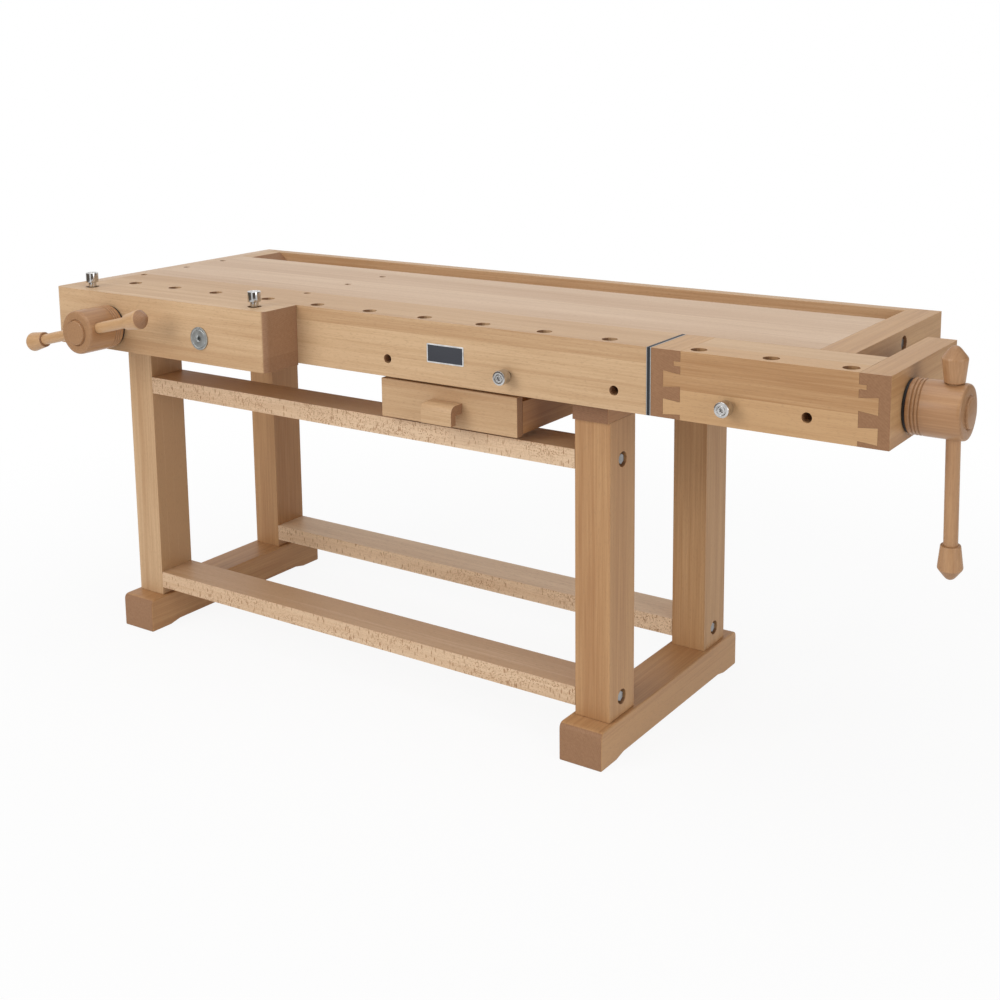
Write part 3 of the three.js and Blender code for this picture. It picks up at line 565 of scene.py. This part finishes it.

# Tone, grain direction, direction in which strips are glued, and the finer traits of each board.
# The side shading trait is painted light and shade on the faces that look across the strips: above 0 they
# are lighter, as if lit, and below 0 darker, as if in shade.
boards = {
    "bench_slab": ("pale", "X", "Y", dict(strip=0.112, contrast=0.3, figure=0.9)),
    "front_beam": ("golden", "X", "Z", dict(strip=0.096, shift=-0.724, contrast=0.42)),
    "end_cap_left": ("pale", "Y", "Z", dict(figure=0.9)),
    "end_cap_right": ("amber", "Y", "Z", {}),
    "rear_board": ("golden", "X", "Z", {}),
    "tray_bottom": ("tan", "X", "Y", {}),
    "tray_ramp": ("golden", "X", "Y", {}),
    "front_jaw": ("golden", "X", "Z", dict(strip=0.098, shift=-0.752, contrast=0.3)),
    "tail_front_board": ("amber", "X", "Z", dict(strip=0.1, shift=-0.679, contrast=0.6, edge=0.75)),
    "tail_jaw_block": ("amber", "Y", "X", {}),
    "tail_top_board": ("golden", "X", "Y", dict(figure=0.9)),
    "tail_end_board": ("amber", "Y", "X", {}),
    "left_front_leg": ("golden", "Z", "X", dict(edge=-0.6)),
    "right_front_leg": ("tan", "Z", "X", dict(edge=0.35)),
    "left_rear_leg": ("tan", "Z", "X", dict(edge=-0.35)),
    "right_rear_leg": ("amber", "Z", "X", {}),
    "left_foot": ("tan", "Y", "X", {}),
    "right_foot": ("tan", "Y", "X", dict(edge=0.4)),
    "left_bearer": ("warm", "Y", "X", {}),
    "right_bearer": ("warm", "Y", "X", {}),
    "front_upper_stretcher": ("fair", "X", "Z", dict(ray_sawn, edge=-0.45)),
    "front_lower_stretcher": ("fair", "X", "Z", dict(ray_sawn, edge=-0.45)),
    "rear_lower_stretcher": ("fair", "X", "Z", dict(ray_sawn, edge=-0.1)),
    "drawer_front": ("golden", "X", "Z", dict(figure=0.9)),
    "drawer_pull": ("golden", "X", "Z", {}),
    "drawer_side_left": ("warm", "Y", "Z", {}),
    "drawer_side_right": ("warm", "Y", "Z", {}),
    "drawer_runner_left": ("warm", "Y", "Z", {}),
    "drawer_runner_right": ("warm", "Y", "Z", {}),
    "drawer_bottom": ("pale", "X", "Y", {}),
    "drawer_back": ("golden", "X", "Z", {}),
}


def dress(node, look):
    """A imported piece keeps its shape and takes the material."""
    slots = nodes[node].data.materials
    slots.clear()
    slots.append(look)


for number, (name, (tone, grain, stack, traits)) in enumerate(boards.items()):
    seed = SEED_STEP * number + SEED_START
    dress(name, beech("beech_" + name, tone, grain, stack, seed, **traits))
print(len(boards), "boards dressed")

# %% [markdown]
# ## Eased edges
# A planed board is never left knife-sharp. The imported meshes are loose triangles, so three modifiers work
# on each of them: Weld joins the corners, Decimate in planar mode joins the triangles of one face, and
# Bevel rounds the arrises. Boards that are glued flush get only a hair of it, or the joint would open into
# a groove.

# %% Eased arrises
FLUSH_EASE, BOARD_EASE, FOOT_EASE = 0.0004, 0.0012, 0.003
WELD_REACH = 0.00001
FLAT_ANGLE, ARRIS_ANGLE = math.radians(0.6), math.radians(34)
flush = {
    "bench_slab", "front_beam", "end_cap_left", "end_cap_right", "tail_front_board", "tail_jaw_block",
    "tail_top_board", "tail_end_board", "tray_ramp", "drawer_side_left", "drawer_side_right",
}


def ease(node, width):
    """Weld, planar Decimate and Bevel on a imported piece."""
    piece = nodes[node]
    weld = piece.modifiers.new("weld", "WELD")
    weld.merge_threshold = WELD_REACH
    plane = piece.modifiers.new("faces", "DECIMATE")
    plane.decimate_type = "DISSOLVE"
    plane.angle_limit = FLAT_ANGLE
    bevel = piece.modifiers.new("ease", "BEVEL")
    bevel.width = width
    bevel.segments = 2
    bevel.limit_method = "ANGLE"
    bevel.angle_limit = ARRIS_ANGLE


for name in boards:
    loose_ease = FOOT_EASE if name.endswith("_foot") else BOARD_EASE
    ease(name, FLUSH_EASE if name in flush else loose_ease)
print("edges eased on", len(boards), "boards,", len(flush), "of them flush")

# %% [markdown]
# ## Metal and dark parts
# The dogs are turned from bright bar, the guide disc is dull steel, the bolts and screws are plain zinc,
# the nuts are cast iron and the screw collars are black. That black is partly painted shade: it also
# darkens the gap behind each hub, where the hub shades the collar. The fine rings that a lathe leaves on a
# dog are a noise that is long round the axis and short along it. The lining of the tail vise is a dark core
# between two pale skins, seen on its edge.

# %% Metals and dark parts
BRIGHT = shade(206, 205, 204)
METAL_GRAIN = (900.0, 900.0, 900.0)
METAL_BUMP, METAL_DEPTH = 0.05, 0.0002
STAIN_SCALE, STAIN_START, STAIN_FULL, STAIN_SHARE = (60.0, 60.0, 60.0), 0.35, 0.7, 0.72
TOOTH_SCALE, TOOTH_SHARE, TOOTH_ROUGHNESS = (700.0, 700.0, 700.0), 1.7, 0.15
TOOTH_BUMP, TOOTH_DEPTH = 0.3, 0.0003


def scaled(colour, share):
    """The colour, lighter or darker by a factor."""
    return tuple(share * c for c in colour[:3]) + (1.0,)


def metal(name, colour, roughness, spread=0.1, grain=METAL_GRAIN):
    """Bare metal whose gloss and colour change a little over the surface."""
    look, tree, surface, where = new_look(name)
    lines = cloud(tree, where.outputs["Object"], grain, 2.0)
    stain = step(tree, cloud(tree, where.outputs["Object"], STAIN_SCALE, 3.0), STAIN_START, STAIN_FULL)
    stained = tint(tree, stain, colour, scaled(colour, STAIN_SHARE))
    dull = total(tree, roughness, swing(tree, lines, spread))
    bump = wire(tree, "Bump", Strength=METAL_BUMP, Distance=METAL_DEPTH, Height=lines)
    feed(tree, surface, Base_Color=stained, Roughness=dull, Normal=bump.outputs[0])
    surface.inputs["Metallic"].default_value = 1.0
    return look


def matt_dark(name, colour, roughness):
    """A dark surface with a fine tooth."""
    look, tree, surface, where = new_look(name)
    tooth = cloud(tree, where.outputs["Object"], TOOTH_SCALE, 3.0)
    speckled = tint(tree, tooth, colour, scaled(colour, TOOTH_SHARE))
    dull = total(tree, roughness, times(tree, tooth, TOOTH_ROUGHNESS))
    bump = wire(tree, "Bump", Strength=TOOTH_BUMP, Distance=TOOTH_DEPTH, Height=tooth)
    feed(tree, surface, Base_Color=speckled, Roughness=dull, Normal=bump.outputs[0])
    return look


bright_steel = metal("bright_steel", BRIGHT, 0.12, spread=0.08, grain=(250.0, 250.0, 2600.0))
cross_steel = metal("bright_steel_cross", BRIGHT, 0.16, spread=0.08, grain=(250.0, 2600.0, 250.0))
grey_steel = metal("grey_steel", shade(150, 153, 158), 0.38, spread=0.2)
disc_steel = metal("disc_steel", shade(186, 189, 188), 0.42, spread=0.3, grain=(420.0, 420.0, 420.0))
zinc = metal("zinc", shade(158, 158, 158), 0.35, spread=0.2)
cast = metal("cast_iron", shade(70, 70, 74), 0.6, spread=0.2)
# The collar black is partly painted shade: it deepens the shaded gap behind each hub.
collar_black_and_shade = matt_dark("collar_black_and_painted_shade", shade(26, 26, 28), 0.45)
print("six metals and one dark finish")

# %% Lining, bolts, nuts and rods
LINING_CORE, LINING_SKIN, LINING_ROUGHNESS = shade(24, 26, 31), shade(186, 186, 186), 0.6
HALF_CORE, SKIN_BLEND = 0.0031, 0.0003
BOLT_EASE, NUT_EASE = 0.0008, 0.001


def middle(node):
    """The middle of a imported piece's box."""
    low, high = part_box(node)
    return (low + high) / 2


def sandwich(name, core, skin, centre):
    """A dark core between two pale skins, told apart by the distance from the middle of its thickness."""
    look = matt_dark(name, core, LINING_ROUGHNESS)
    tree = look.node_tree
    surface = tree.nodes["Principled BSDF"]
    dark = surface.inputs["Base Color"].links[0].from_socket
    position = wire(tree, "TexCoord").outputs["Object"]
    off_centre = calc(tree, "ABSOLUTE", calc(tree, "SUBTRACT", parts_of(tree, position)[0], centre))
    outside = step(tree, off_centre, HALF_CORE, HALF_CORE + SKIN_BLEND)
    feed(tree, surface, Base_Color=tint(tree, outside, dark, skin))
    return look


bolts = [name for name in nodes if "bolt" in name]
for name in bolts:
    dress(name, zinc)
    ease(name, BOLT_EASE)
for name in ("front_nut", "tail_nut"):
    dress(name, cast)
    ease(name, NUT_EASE)
for name in ("front_guide_sleeve", "tail_guide_rod"):
    dress(name, grey_steel)
dress("tail_jaw_liner", sandwich("jaw_lining", LINING_CORE, LINING_SKIN, middle("tail_jaw_liner").x))
ease("tail_jaw_liner", FLUSH_EASE)
print(len(bolts), "bolts, two nuts, sleeve, rod and lining dressed")

# %% [markdown]
# ## Turned pieces
# Hubs, knobs, bars, dogs and the guide disc all come off a lathe, so each is a profile turned about an
# axis. The profile is a list of corners with a rounding for each. It becomes an array of radii and
# heights, and one product with the circle gives every point of the surface.

# %% Profiles and grids
ON_AXIS = 1e-9


def rounded(corners, steps):
    """Corners (radius, height, rounding) as a smooth profile: each rounded corner is a small parabola."""
    points = np.array([c[:2] for c in corners], float)
    lines = [points[:1]]
    t = np.linspace(0.0, 1.0, steps)[:, None]
    for i in range(1, len(points) - 1):
        here, before, after = points[i], points[i - 1], points[i + 1]
        size = corners[i][2]
        if size == 0:
            lines.append(points[i:i + 1])
            continue
        start = here + (before - here) * min(0.5, size / np.linalg.norm(before - here))
        stop = here + (after - here) * min(0.5, size / np.linalg.norm(after - here))
        lines.append((1 - t) ** 2 * start + 2 * t * (1 - t) * here + t ** 2 * stop)
    lines.append(points[-1:])
    return np.vstack(lines)


def circle_about(axis, sides):
    """Angles u, and the points cos u * first + sin u * second of a unit circle square to the axis."""
    first = Vector(axis).orthogonal().normalized()
    second = Vector(axis).cross(first)
    u = np.linspace(0, 2 * math.pi, sides, endpoint=False)
    return u, np.outer(np.cos(u), first) + np.outer(np.sin(u), second)


def grid_faces(rows, count, closed=False):
    """Four-sided faces between rows of points that go round. If closed, the last row joins the first."""
    v, k = np.meshgrid(np.arange(rows if closed else rows - 1), np.arange(count), indexing="ij")
    next_v, next_k = (v + 1) % rows, (k + 1) % count
    corners = [v * count + k, v * count + next_k, next_v * count + next_k, next_v * count + k]
    return np.stack(corners, -1).reshape(-1, 4).tolist()


def end_caps(rows, count):
    """One many-sided face over the first row of a grid, and one over the last."""
    first = np.arange(count)
    return [first[::-1].tolist(), (first + (rows - 1) * count).tolist()]


def lathe(profile, origin, axis, sides):
    """Point(u, v) = origin + height(v) * axis + radius(v) * circle(u). A profile that starts on the axis is
    closed by poles, and one that never meets it is closed on itself, as a ring."""
    origin, axis = np.array(origin, float), np.array(Vector(axis).normalized())
    poled = bool(profile[0, 0] < ON_AXIS)
    body = profile[1:-1] if poled else profile
    circle = circle_about(axis, sides)[1]
    points = (origin + body[:, 1, None, None] * axis + body[:, 0, None, None] * circle).reshape(-1, 3)
    faces = grid_faces(len(body), sides, closed=not poled)
    if poled:
        low, high = len(points), len(points) + 1
        points = np.vstack([points, origin + np.outer(profile[[0, -1], 1], axis)])
        first = np.arange(sides)
        last = first + (len(body) - 1) * sides
        faces += np.stack([np.full(sides, low), np.roll(first, -1), first], -1).tolist()
        faces += np.stack([np.full(sides, high), last, np.roll(last, -1)], -1).tolist()
    return points, faces


print("lathe ready")

# %% [markdown]
# A finished surface becomes an object at the origin that rides on one body of the bench and hides the
# plain piece it stands for, where there is one. A hole is bored with an exact Boolean, which is applied at
# once so that the mesh is final.

# %% Pieces and bores
MERGE_REACH = 1e-6
SHARP_ANGLE = 32


def closed_mesh(name, shape):
    """The points and faces of a shape as a mesh, its doubles merged and its faces pointing outwards."""
    points, faces = shape
    mesh = bpy.data.meshes.new(name)
    mesh.from_pydata(points.tolist(), [], faces)
    work = bmesh.new()
    work.from_mesh(mesh)
    bmesh.ops.remove_doubles(work, verts=work.verts, dist=MERGE_REACH)
    bmesh.ops.recalc_face_normals(work, faces=work.faces)
    work.to_mesh(mesh)
    work.free()
    return mesh


def smooth(mesh, sharp=SHARP_ANGLE):
    """Smooth shading, except at edges sharper than the angle in degrees."""
    mesh.polygons.foreach_set("use_smooth", np.ones(len(mesh.polygons), bool))
    mesh.set_sharp_from_angle(angle=math.radians(sharp))


def build(name, shape, look, body, stands_for=(), sharp=SHARP_ANGLE):
    """A mesh object that rides on a body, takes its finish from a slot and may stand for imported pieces."""
    mesh = closed_mesh(name, shape)
    smooth(mesh, sharp)
    mesh.materials.append(look)
    piece = put(name, mesh)
    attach(piece, body)
    if stands_for:
        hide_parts(*stands_for)
    return piece


def bore(piece, shape):
    """Cuts the closed shape out of the piece, as a drill would."""
    drill = put("drill", closed_mesh("drill", shape))
    cut = piece.modifiers.new("bore", "BOOLEAN")
    cut.object = drill
    cut.solver = "EXACT"
    bpy.context.view_layer.update()
    bored = piece.evaluated_get(bpy.context.evaluated_depsgraph_get())
    made = bpy.data.meshes.new_from_object(bored)
    piece.modifiers.clear()
    piece.data = made
    smooth(made)
    bpy.data.objects.remove(drill)


print("pieces are smooth below", SHARP_ANGLE, "degrees")

# %% [markdown]
# ## Vise hubs
# A heavy turned hub ends each vise screw: a thick bead against the black collar, three fine grooves, a
# plain barrel with a cross hole for the bar, a rounded shoulder and a raised boss inside a ring groove.
# The cross hole is bored after turning, as in the workshop.

# %% Hub profile
HUB_RADIUS, HUB_LENGTH, HUB_FACE = 0.0485, 0.093, 0.040
HUB_GROOVES = (0.0085, 0.0148, 0.0211)
GROOVE_HALF, GROOVE_DEPTH = 0.0016, 0.002
BEAD_ROUND, LIP_ROUND, ROOT_ROUND = 0.0022, 0.0012, 0.0004
SHOULDER_DROP, SHOULDER_ROUND, FACE_ROUND = 0.001, 0.0085, 0.003
BOSS_RADIUS, BOSS_HEIGHT, BOSS_ROUND = 0.027, 0.005, 0.003
RING_WIDTH, RING_DEPTH, RING_ROUND, RING_FOOT = 0.003, 0.0022, 0.0006, 0.0005


def hub_profile():
    """A thick bead, three fine grooves, then the barrel, the shoulder, a ring groove and the boss."""
    corners = [(0, 0, 0), (HUB_RADIUS, 0, BEAD_ROUND)]
    for place in HUB_GROOVES:
        corners += [
            (HUB_RADIUS, place - GROOVE_HALF, LIP_ROUND),
            (HUB_RADIUS - GROOVE_DEPTH, place, ROOT_ROUND),
            (HUB_RADIUS, place + GROOVE_HALF, LIP_ROUND),
        ]
    corners += [
        (HUB_RADIUS, HUB_LENGTH - SHOULDER_DROP, SHOULDER_ROUND),
        (HUB_FACE, HUB_LENGTH, FACE_ROUND),
        (BOSS_RADIUS + RING_WIDTH, HUB_LENGTH, RING_ROUND),
        (BOSS_RADIUS + RING_WIDTH / 2, HUB_LENGTH - RING_DEPTH, RING_ROUND),
        (BOSS_RADIUS, HUB_LENGTH - RING_FOOT, RING_FOOT),
        (BOSS_RADIUS, HUB_LENGTH + BOSS_HEIGHT, BOSS_ROUND),
        (0, HUB_LENGTH + BOSS_HEIGHT, 0),
    ]
    return rounded(corners, steps=6)


print("hub profile of", len(hub_profile()), "points")

# %% [markdown]
# The handle is a round bar that slides through the hub, with a knob on each end: a rim, a slow flare to
# the widest ring and a blunt cone. Both are the same at the two vises, so only their places and woods
# differ.

# %% Bar and knob profiles
BAR_RADIUS, BAR_FREE, BAR_TENON, BAR_CHAMFER = 0.0122, 0.285, 0.02, 0.001
KNOB_LENGTH, KNOB_RIM, KNOB_RADIUS, KNOB_WIDEST = 0.0624, 0.017, 0.0218, 0.042
RIM_ROUND, WIDEST_ROUND = 0.0025, 0.003
CONE_RADIUS, CONE_SHARE, CONE_ROUND = 0.0085, 0.86, 0.006
TIP_RADIUS, TIP_ROUND = 0.004, 0.004


def knob_profile():
    """A rim, a flare to the widest ring and a blunt cone with a rounded tip."""
    corners = [
        (0, 0, 0),
        (KNOB_RIM, 0, RIM_ROUND),
        (KNOB_RADIUS, KNOB_WIDEST, WIDEST_ROUND),
        (CONE_RADIUS, KNOB_WIDEST + CONE_SHARE * (KNOB_LENGTH - KNOB_WIDEST), CONE_ROUND),
        (TIP_RADIUS, KNOB_LENGTH, TIP_ROUND),
        (0, KNOB_LENGTH, 0),
    ]
    return rounded(corners, steps=8)


def rod_profile(radius, length, chamfer):
    """A straight rod with a chamfer at both ends."""
    low = [(0, 0), (radius - chamfer, 0), (radius, chamfer)]
    high = [(radius, length - chamfer), (radius - chamfer, length), (0, length)]
    return np.array(low + high, float)


print("knob profile of", len(knob_profile()), "points")

# %% Hub, collar and handle of a vise
BAR_PLACE, BAR_PLAY = 0.068, 0.0005
DRILL_LENGTH, DRILL_CHAMFER = 0.16, 0.0001
COLLAR_RADIUS, COLLAR_THICKNESS, COLLAR_GAP, COLLAR_ROUND = 0.046, 0.005, 0.0005, 0.001
SCREW_PASS = 0.016


def turned_hub(vise, base, out, along, wood):
    """The hub from its collar outwards, with the hole for the bar bored through it."""
    shape = lathe(hub_profile(), base, out, sides=96)
    hub = build("turned_hub_" + vise, shape, wood, vise + "_screw", [vise + "_hub"])
    start = base + BAR_PLACE * out - DRILL_LENGTH / 2 * along
    drill = rod_profile(BAR_RADIUS + BAR_PLAY, DRILL_LENGTH, DRILL_CHAMFER)
    bore(hub, lathe(drill, start, along, sides=48))


def ring_collar(vise, base, out, jaw_body):
    """A flat ring between the hub and the jaw, wide enough inside for the screw."""
    corners = [
        (SCREW_PASS, -COLLAR_THICKNESS, 0),
        (COLLAR_RADIUS, -COLLAR_THICKNESS, COLLAR_ROUND),
        (COLLAR_RADIUS, 0, COLLAR_ROUND),
        (SCREW_PASS, 0, 0),
    ]
    shape = lathe(rounded(corners, steps=4), base - COLLAR_GAP * out, out, sides=96)
    build("ring_collar_" + vise, shape, collar_black_and_shade, jaw_body, [vise + "_collar"])


def handle(vise, along, knobs, wood):
    """The bar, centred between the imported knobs, and a knob at each end of its free length."""
    centre = (middle(f"{vise}_knob_{knobs[0]}") + middle(f"{vise}_knob_{knobs[1]}")) / 2
    body = vise + "_handle"
    bar = rod_profile(BAR_RADIUS, BAR_FREE + 2 * BAR_TENON, BAR_CHAMFER)
    shape = lathe(bar, centre - (BAR_FREE / 2 + BAR_TENON) * along, along, sides=40)
    build("turned_bar_" + vise, shape, wood, body, [vise + "_handle_bar"])
    for name, side in zip(knobs, (-1, 1)):
        shape = lathe(knob_profile(), centre + side * BAR_FREE / 2 * along, side * along, sides=56)
        build(f"turned_knob_{vise}_{name}", shape, wood, body, [f"{vise}_knob_{name}"])


print("cross hole of", round(2000 * (BAR_RADIUS + BAR_PLAY), 1), "mm")

# %% Both vises
TURNED_COAT = 0.25
HUB_FIGURE, HANDLE_FIGURE = 0.9, 0.8
HUB_PITH, HANDLE_PITH = Vector((0.012, 0.012, -0.015)), Vector((0.006, 0.004, 0.006))


def vise_set(vise, base, out, along, knobs, jaw_body, hub_traits, handle_traits):
    """Hub, collar, bar and two knobs of one vise. base is where hub and collar meet, out points away from
    the jaw and along runs from the first knob to the second."""
    hub_look = dict(figure=HUB_FIGURE, coat=TURNED_COAT, pith=base + HUB_PITH)
    handle_look = dict(figure=HANDLE_FIGURE, coat=TURNED_COAT, pith=base + HANDLE_PITH)
    hub_wood = beech("beech_hub_" + vise, **hub_traits, **hub_look)
    handle_wood = beech("beech_handle_" + vise, **handle_traits, **handle_look)
    turned_hub(vise, base, out, along, hub_wood)
    ring_collar(vise, base, out, jaw_body)
    handle(vise, along, knobs, handle_wood)


front_out, tail_out = Vector((0, -1, 0)), Vector((1, 0, 0))
front_base = Vector((middle("front_collar").x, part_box("front_hub")[1].y, middle("front_collar").z))
front_along = (middle("front_knob_right") - middle("front_knob_left")).normalized()
front_tilt = math.atan2(front_along.z, front_along.x)
tail_base = Vector((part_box("tail_hub")[0].x, middle("tail_collar").y, middle("tail_collar").z))
tail_along = (middle("tail_knob_bottom") - middle("tail_knob_top")).normalized()
vise_set(
    "front", front_base, front_out, front_along, ("left", "right"), "front_jaw",
    dict(tone="turned", grain="Y", stack="Z", seed=41.0),
    dict(tone="amber", grain="X", stack="Z", seed=43.3, turn=(0, front_tilt, 0)),
)
vise_set(
    "tail", tail_base, tail_out, tail_along, ("top", "bottom"), "tail_vise",
    dict(tone="turned", grain="X", stack="Z", seed=57.0),
    dict(tone="turned", grain="Z", stack="X", seed=59.3),
)
print("front bar tilted by", round(math.degrees(front_tilt), 1), "degrees")

# %% [markdown]
# ## Screws
# The screws show when a vise is open. A trapezoid thread of six millimetres a turn is one surface: the
# radius at each angle and height depends only on how far the point lies along the helix.

# %% Threaded screws
SCREW_RADIUS, SCREW_LEAD, THREAD_DEPTH = 0.014, 0.006, 0.0026
THREAD_HALF, THREAD_FLANK, THREAD_RUNOUT = 0.36, 0.14, 0.008
THREAD_SHARP = 50


def thread(length, origin, axis, sides=40, slices=8):
    """Radius = core + depth * trapezoid(height / lead - angle / turn), tapered to the core at both ends."""
    origin, axis = np.array(origin, float), np.array(Vector(axis).normalized())
    rows = int(length / SCREW_LEAD * slices)
    height = np.linspace(0, length, rows)
    angle, circle = circle_about(axis, sides)
    phase = np.mod(height[:, None] / SCREW_LEAD - angle[None] / (2 * math.pi), 1.0)
    flank = np.clip((THREAD_HALF - np.abs(phase - 0.5)) / THREAD_FLANK, 0, 1)
    ends = np.clip(np.minimum(height, length - height) / THREAD_RUNOUT, 0, 1)[:, None]
    radius = SCREW_RADIUS - THREAD_DEPTH + THREAD_DEPTH * flank * ends
    points = (origin + height[:, None, None] * axis + radius[..., None] * circle[None]).reshape(-1, 3)
    return points, grid_faces(rows, sides) + end_caps(rows, sides)


for vise, out, base in (("front", front_out, front_base), ("tail", tail_out, tail_base)):
    screw = vise + "_screw"
    low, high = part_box(screw)
    length = max(high - low)
    inner = high if sum(out) < 0 else low
    tip = Vector([inner[axis] if out[axis] else base[axis] for axis in range(3)])
    build("thread_" + vise, thread(length, tip, out), zinc, screw, [screw], THREAD_SHARP)
    print(vise, "screw", round(length, 3), "m")

# %% [markdown]
# ## Dogs and guide disc
# A dog is a stepped pin: a head with a thin ring groove and a socket in its face, and a shank that sits in
# the hole. The two on the jaw stand upright and the two on the front lie on their sides, so one function
# gives the profile of all four.

# %% Dogs and pegs
HEAD_RADIUS, HEAD_HEIGHT, HEAD_ROUND, FOOT_ROUND = 0.0142, 0.022, 0.0014, 0.0012
SHANK_RADIUS, SHANK_ROUND = 0.0091, 0.0015
# Radius, depth and rounding of each corner of the ring groove and of the socket.
DOG_RING = ((0.009, 0, 0.0003), (0.0087, 0.0012, 0.0003), (0.0071, 0.0012, 0.0003), (0.0069, 0, 0.0003))
DOG_SOCKET = ((0.0038, 0, 0.0005), (0.0034, 0.006, 0.0004), (0, 0.006, 0))


def dog_profile(shank):
    """Shank, shoulder, head, then the ring groove and the socket in the face."""
    corners = [
        (0, -shank, 0),
        (SHANK_RADIUS, -shank, SHANK_ROUND),
        (SHANK_RADIUS, 0, 0),
        (HEAD_RADIUS, 0, FOOT_ROUND),
        (HEAD_RADIUS, HEAD_HEIGHT, HEAD_ROUND),
    ]
    corners += [(radius, HEAD_HEIGHT - depth, size) for radius, depth, size in DOG_RING + DOG_SOCKET]
    return rounded(corners, steps=4)


pins = {
    "jaw_dog_left": (0, 0, 1),
    "jaw_dog_right": (0, 0, 1),
    "peg_bench": (0, -1, 0),
    "peg_tail": (0, -1, 0),
}
for name, out in pins.items():
    low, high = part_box(name)
    out = Vector(out)
    length = max(high - low)
    look = bright_steel if out.z else cross_steel
    seat = middle(name) + (length / 2 - HEAD_HEIGHT) * out
    shape = lathe(dog_profile(length - HEAD_HEIGHT), seat, out, sides=64)
    build("dog_" + name, shape, look, name, [name])
print(len(pins), "dogs")

# %% [markdown]
# The guide rod of the front vise ends in a flat disc on the jaw, with one fine groove near its rim and a
# countersunk hole in its middle. Disc and rod are one profile.

# %% Guide disc
GUIDE_RADIUS, GUIDE_ROUND = 0.0125, 0.001
DISC_RADIUS, DISC_THICKNESS, DISC_ROUND = 0.025, 0.003, 0.0012
DISC_GROOVE, DISC_GROOVE_HALF, DISC_GROOVE_ROUND = 0.0199, 0.0009, 0.0003
SINK_RADIUS, SINK_DEPTH, SINK_ROUND = 0.0068, 0.0018, 0.0006
DISC_HOLE, DISC_HOLE_DEPTH = 0.005, 0.008

low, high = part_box("front_guide_rod")
face = Vector((middle("front_guide_rod").x, low.y, middle("front_guide_rod").z))
back = -(high.y - low.y)
guide_corners = [
    (0, back, 0),
    (GUIDE_RADIUS, back, GUIDE_ROUND),
    (GUIDE_RADIUS, -DISC_THICKNESS, 0),
    (DISC_RADIUS, -DISC_THICKNESS, 0),
    (DISC_RADIUS, 0, DISC_ROUND),
    (DISC_GROOVE + DISC_GROOVE_HALF, 0, DISC_GROOVE_ROUND),
    (DISC_GROOVE, -DISC_GROOVE_HALF, DISC_GROOVE_ROUND),
    (DISC_GROOVE - DISC_GROOVE_HALF, 0, DISC_GROOVE_ROUND),
    (SINK_RADIUS, 0, SINK_ROUND),
    (DISC_HOLE, -SINK_DEPTH, 0),
    (DISC_HOLE, -DISC_HOLE_DEPTH, 0),
    (0, -DISC_HOLE_DEPTH, 0),
]
shape = lathe(rounded(guide_corners, steps=4), face, (0, -1, 0), sides=72)
build("guide_front", shape, disc_steel, "front_jaw", ["front_guide_rod"])
print("guide of", round(-back, 3), "m")

# %% [markdown]
# ## Plate
# A small dark plate with a bright rim is fixed on the front beam. Both parts are a rounded rectangle
# carried up in a few steps: the rim from the wood over a fine bevel to its face, and inside it the dark
# field, which stands a hair higher.

# %% Bare plate
PLATE_LEFT, PLATE_RIGHT, PLATE_LOW, PLATE_HIGH = 0.999, 1.089, 0.766, 0.805
PLATE_THICKNESS, PLATE_CORNER, PLATE_CORNER_LEAST = 0.0012, 0.0025, 0.0008
PLATE_LIFT = 0.00005
RIM, RIM_BEVEL, RIM_SIDE = 0.003, 0.0003, 0.8 * PLATE_THICKNESS
FIELD_LAP, FIELD_FOOT = 0.0004, 0.9 * PLATE_THICKNESS
FIELD_EDGE, FIELD_BEVEL, FIELD_TOP = PLATE_THICKNESS + 0.0002, 0.0003, PLATE_THICKNESS + 0.0003

centre = BENCH_CORNER + Vector(((PLATE_LEFT + PLATE_RIGHT) / 2, 0, (PLATE_LOW + PLATE_HIGH) / 2))
half_width, half_height = (PLATE_RIGHT - PLATE_LEFT) / 2, (PLATE_HIGH - PLATE_LOW) / 2


def outline(half_width, half_height, corner, steps=6):
    """A rounded rectangle as four quarter circles joined by straight sides."""
    t = np.linspace(0, math.pi / 2, steps)
    quarters = []
    for number, (sx, sz) in enumerate(((1, 1), (-1, 1), (-1, -1), (1, -1))):
        angle = t + number * math.pi / 2
        arc = corner * np.stack([np.cos(angle), np.sin(angle)], -1)
        quarters.append(arc + [sx * (half_width - corner), sz * (half_height - corner)])
    return np.vstack(quarters)


def plate_ring(inset, proud):
    """The plate's outline, drawn in by the inset and standing proud of the beam."""
    corner = max(PLATE_CORNER - inset, PLATE_CORNER_LEAST)
    flat = outline(half_width - inset, half_height - inset, corner)
    depth = np.full(len(flat), centre.y - proud)
    return np.stack([centre.x + flat[:, 0], depth, centre.z + flat[:, 1]], -1)


def stacked(steps):
    """Rings at (inset, proud) joined side by side, the first and last closed by one face."""
    rings = [plate_ring(inset, proud) for inset, proud in steps]
    count = len(rings[0])
    return np.vstack(rings), grid_faces(len(rings), count) + end_caps(len(rings), count)


rim_metal = metal("plate_rim", shade(228, 228, 228), 0.6)
field = matt_dark("plate_field", shade(40, 42, 49), 0.55)
rim_steps = [(0, PLATE_LIFT), (0, RIM_SIDE), (RIM_BEVEL, PLATE_THICKNESS), (RIM, PLATE_THICKNESS)]
build("plate_rim", stacked(rim_steps), rim_metal, "bench")
field_steps = [(RIM - FIELD_LAP, FIELD_FOOT), (RIM, FIELD_EDGE), (RIM + FIELD_BEVEL, FIELD_TOP)]
build("plate_field", stacked(field_steps), field, "bench")
print("plate of", round(2 * half_width, 3), "by", round(2 * half_height, 3), "m")

# %% Final update
bpy.context.view_layer.update()
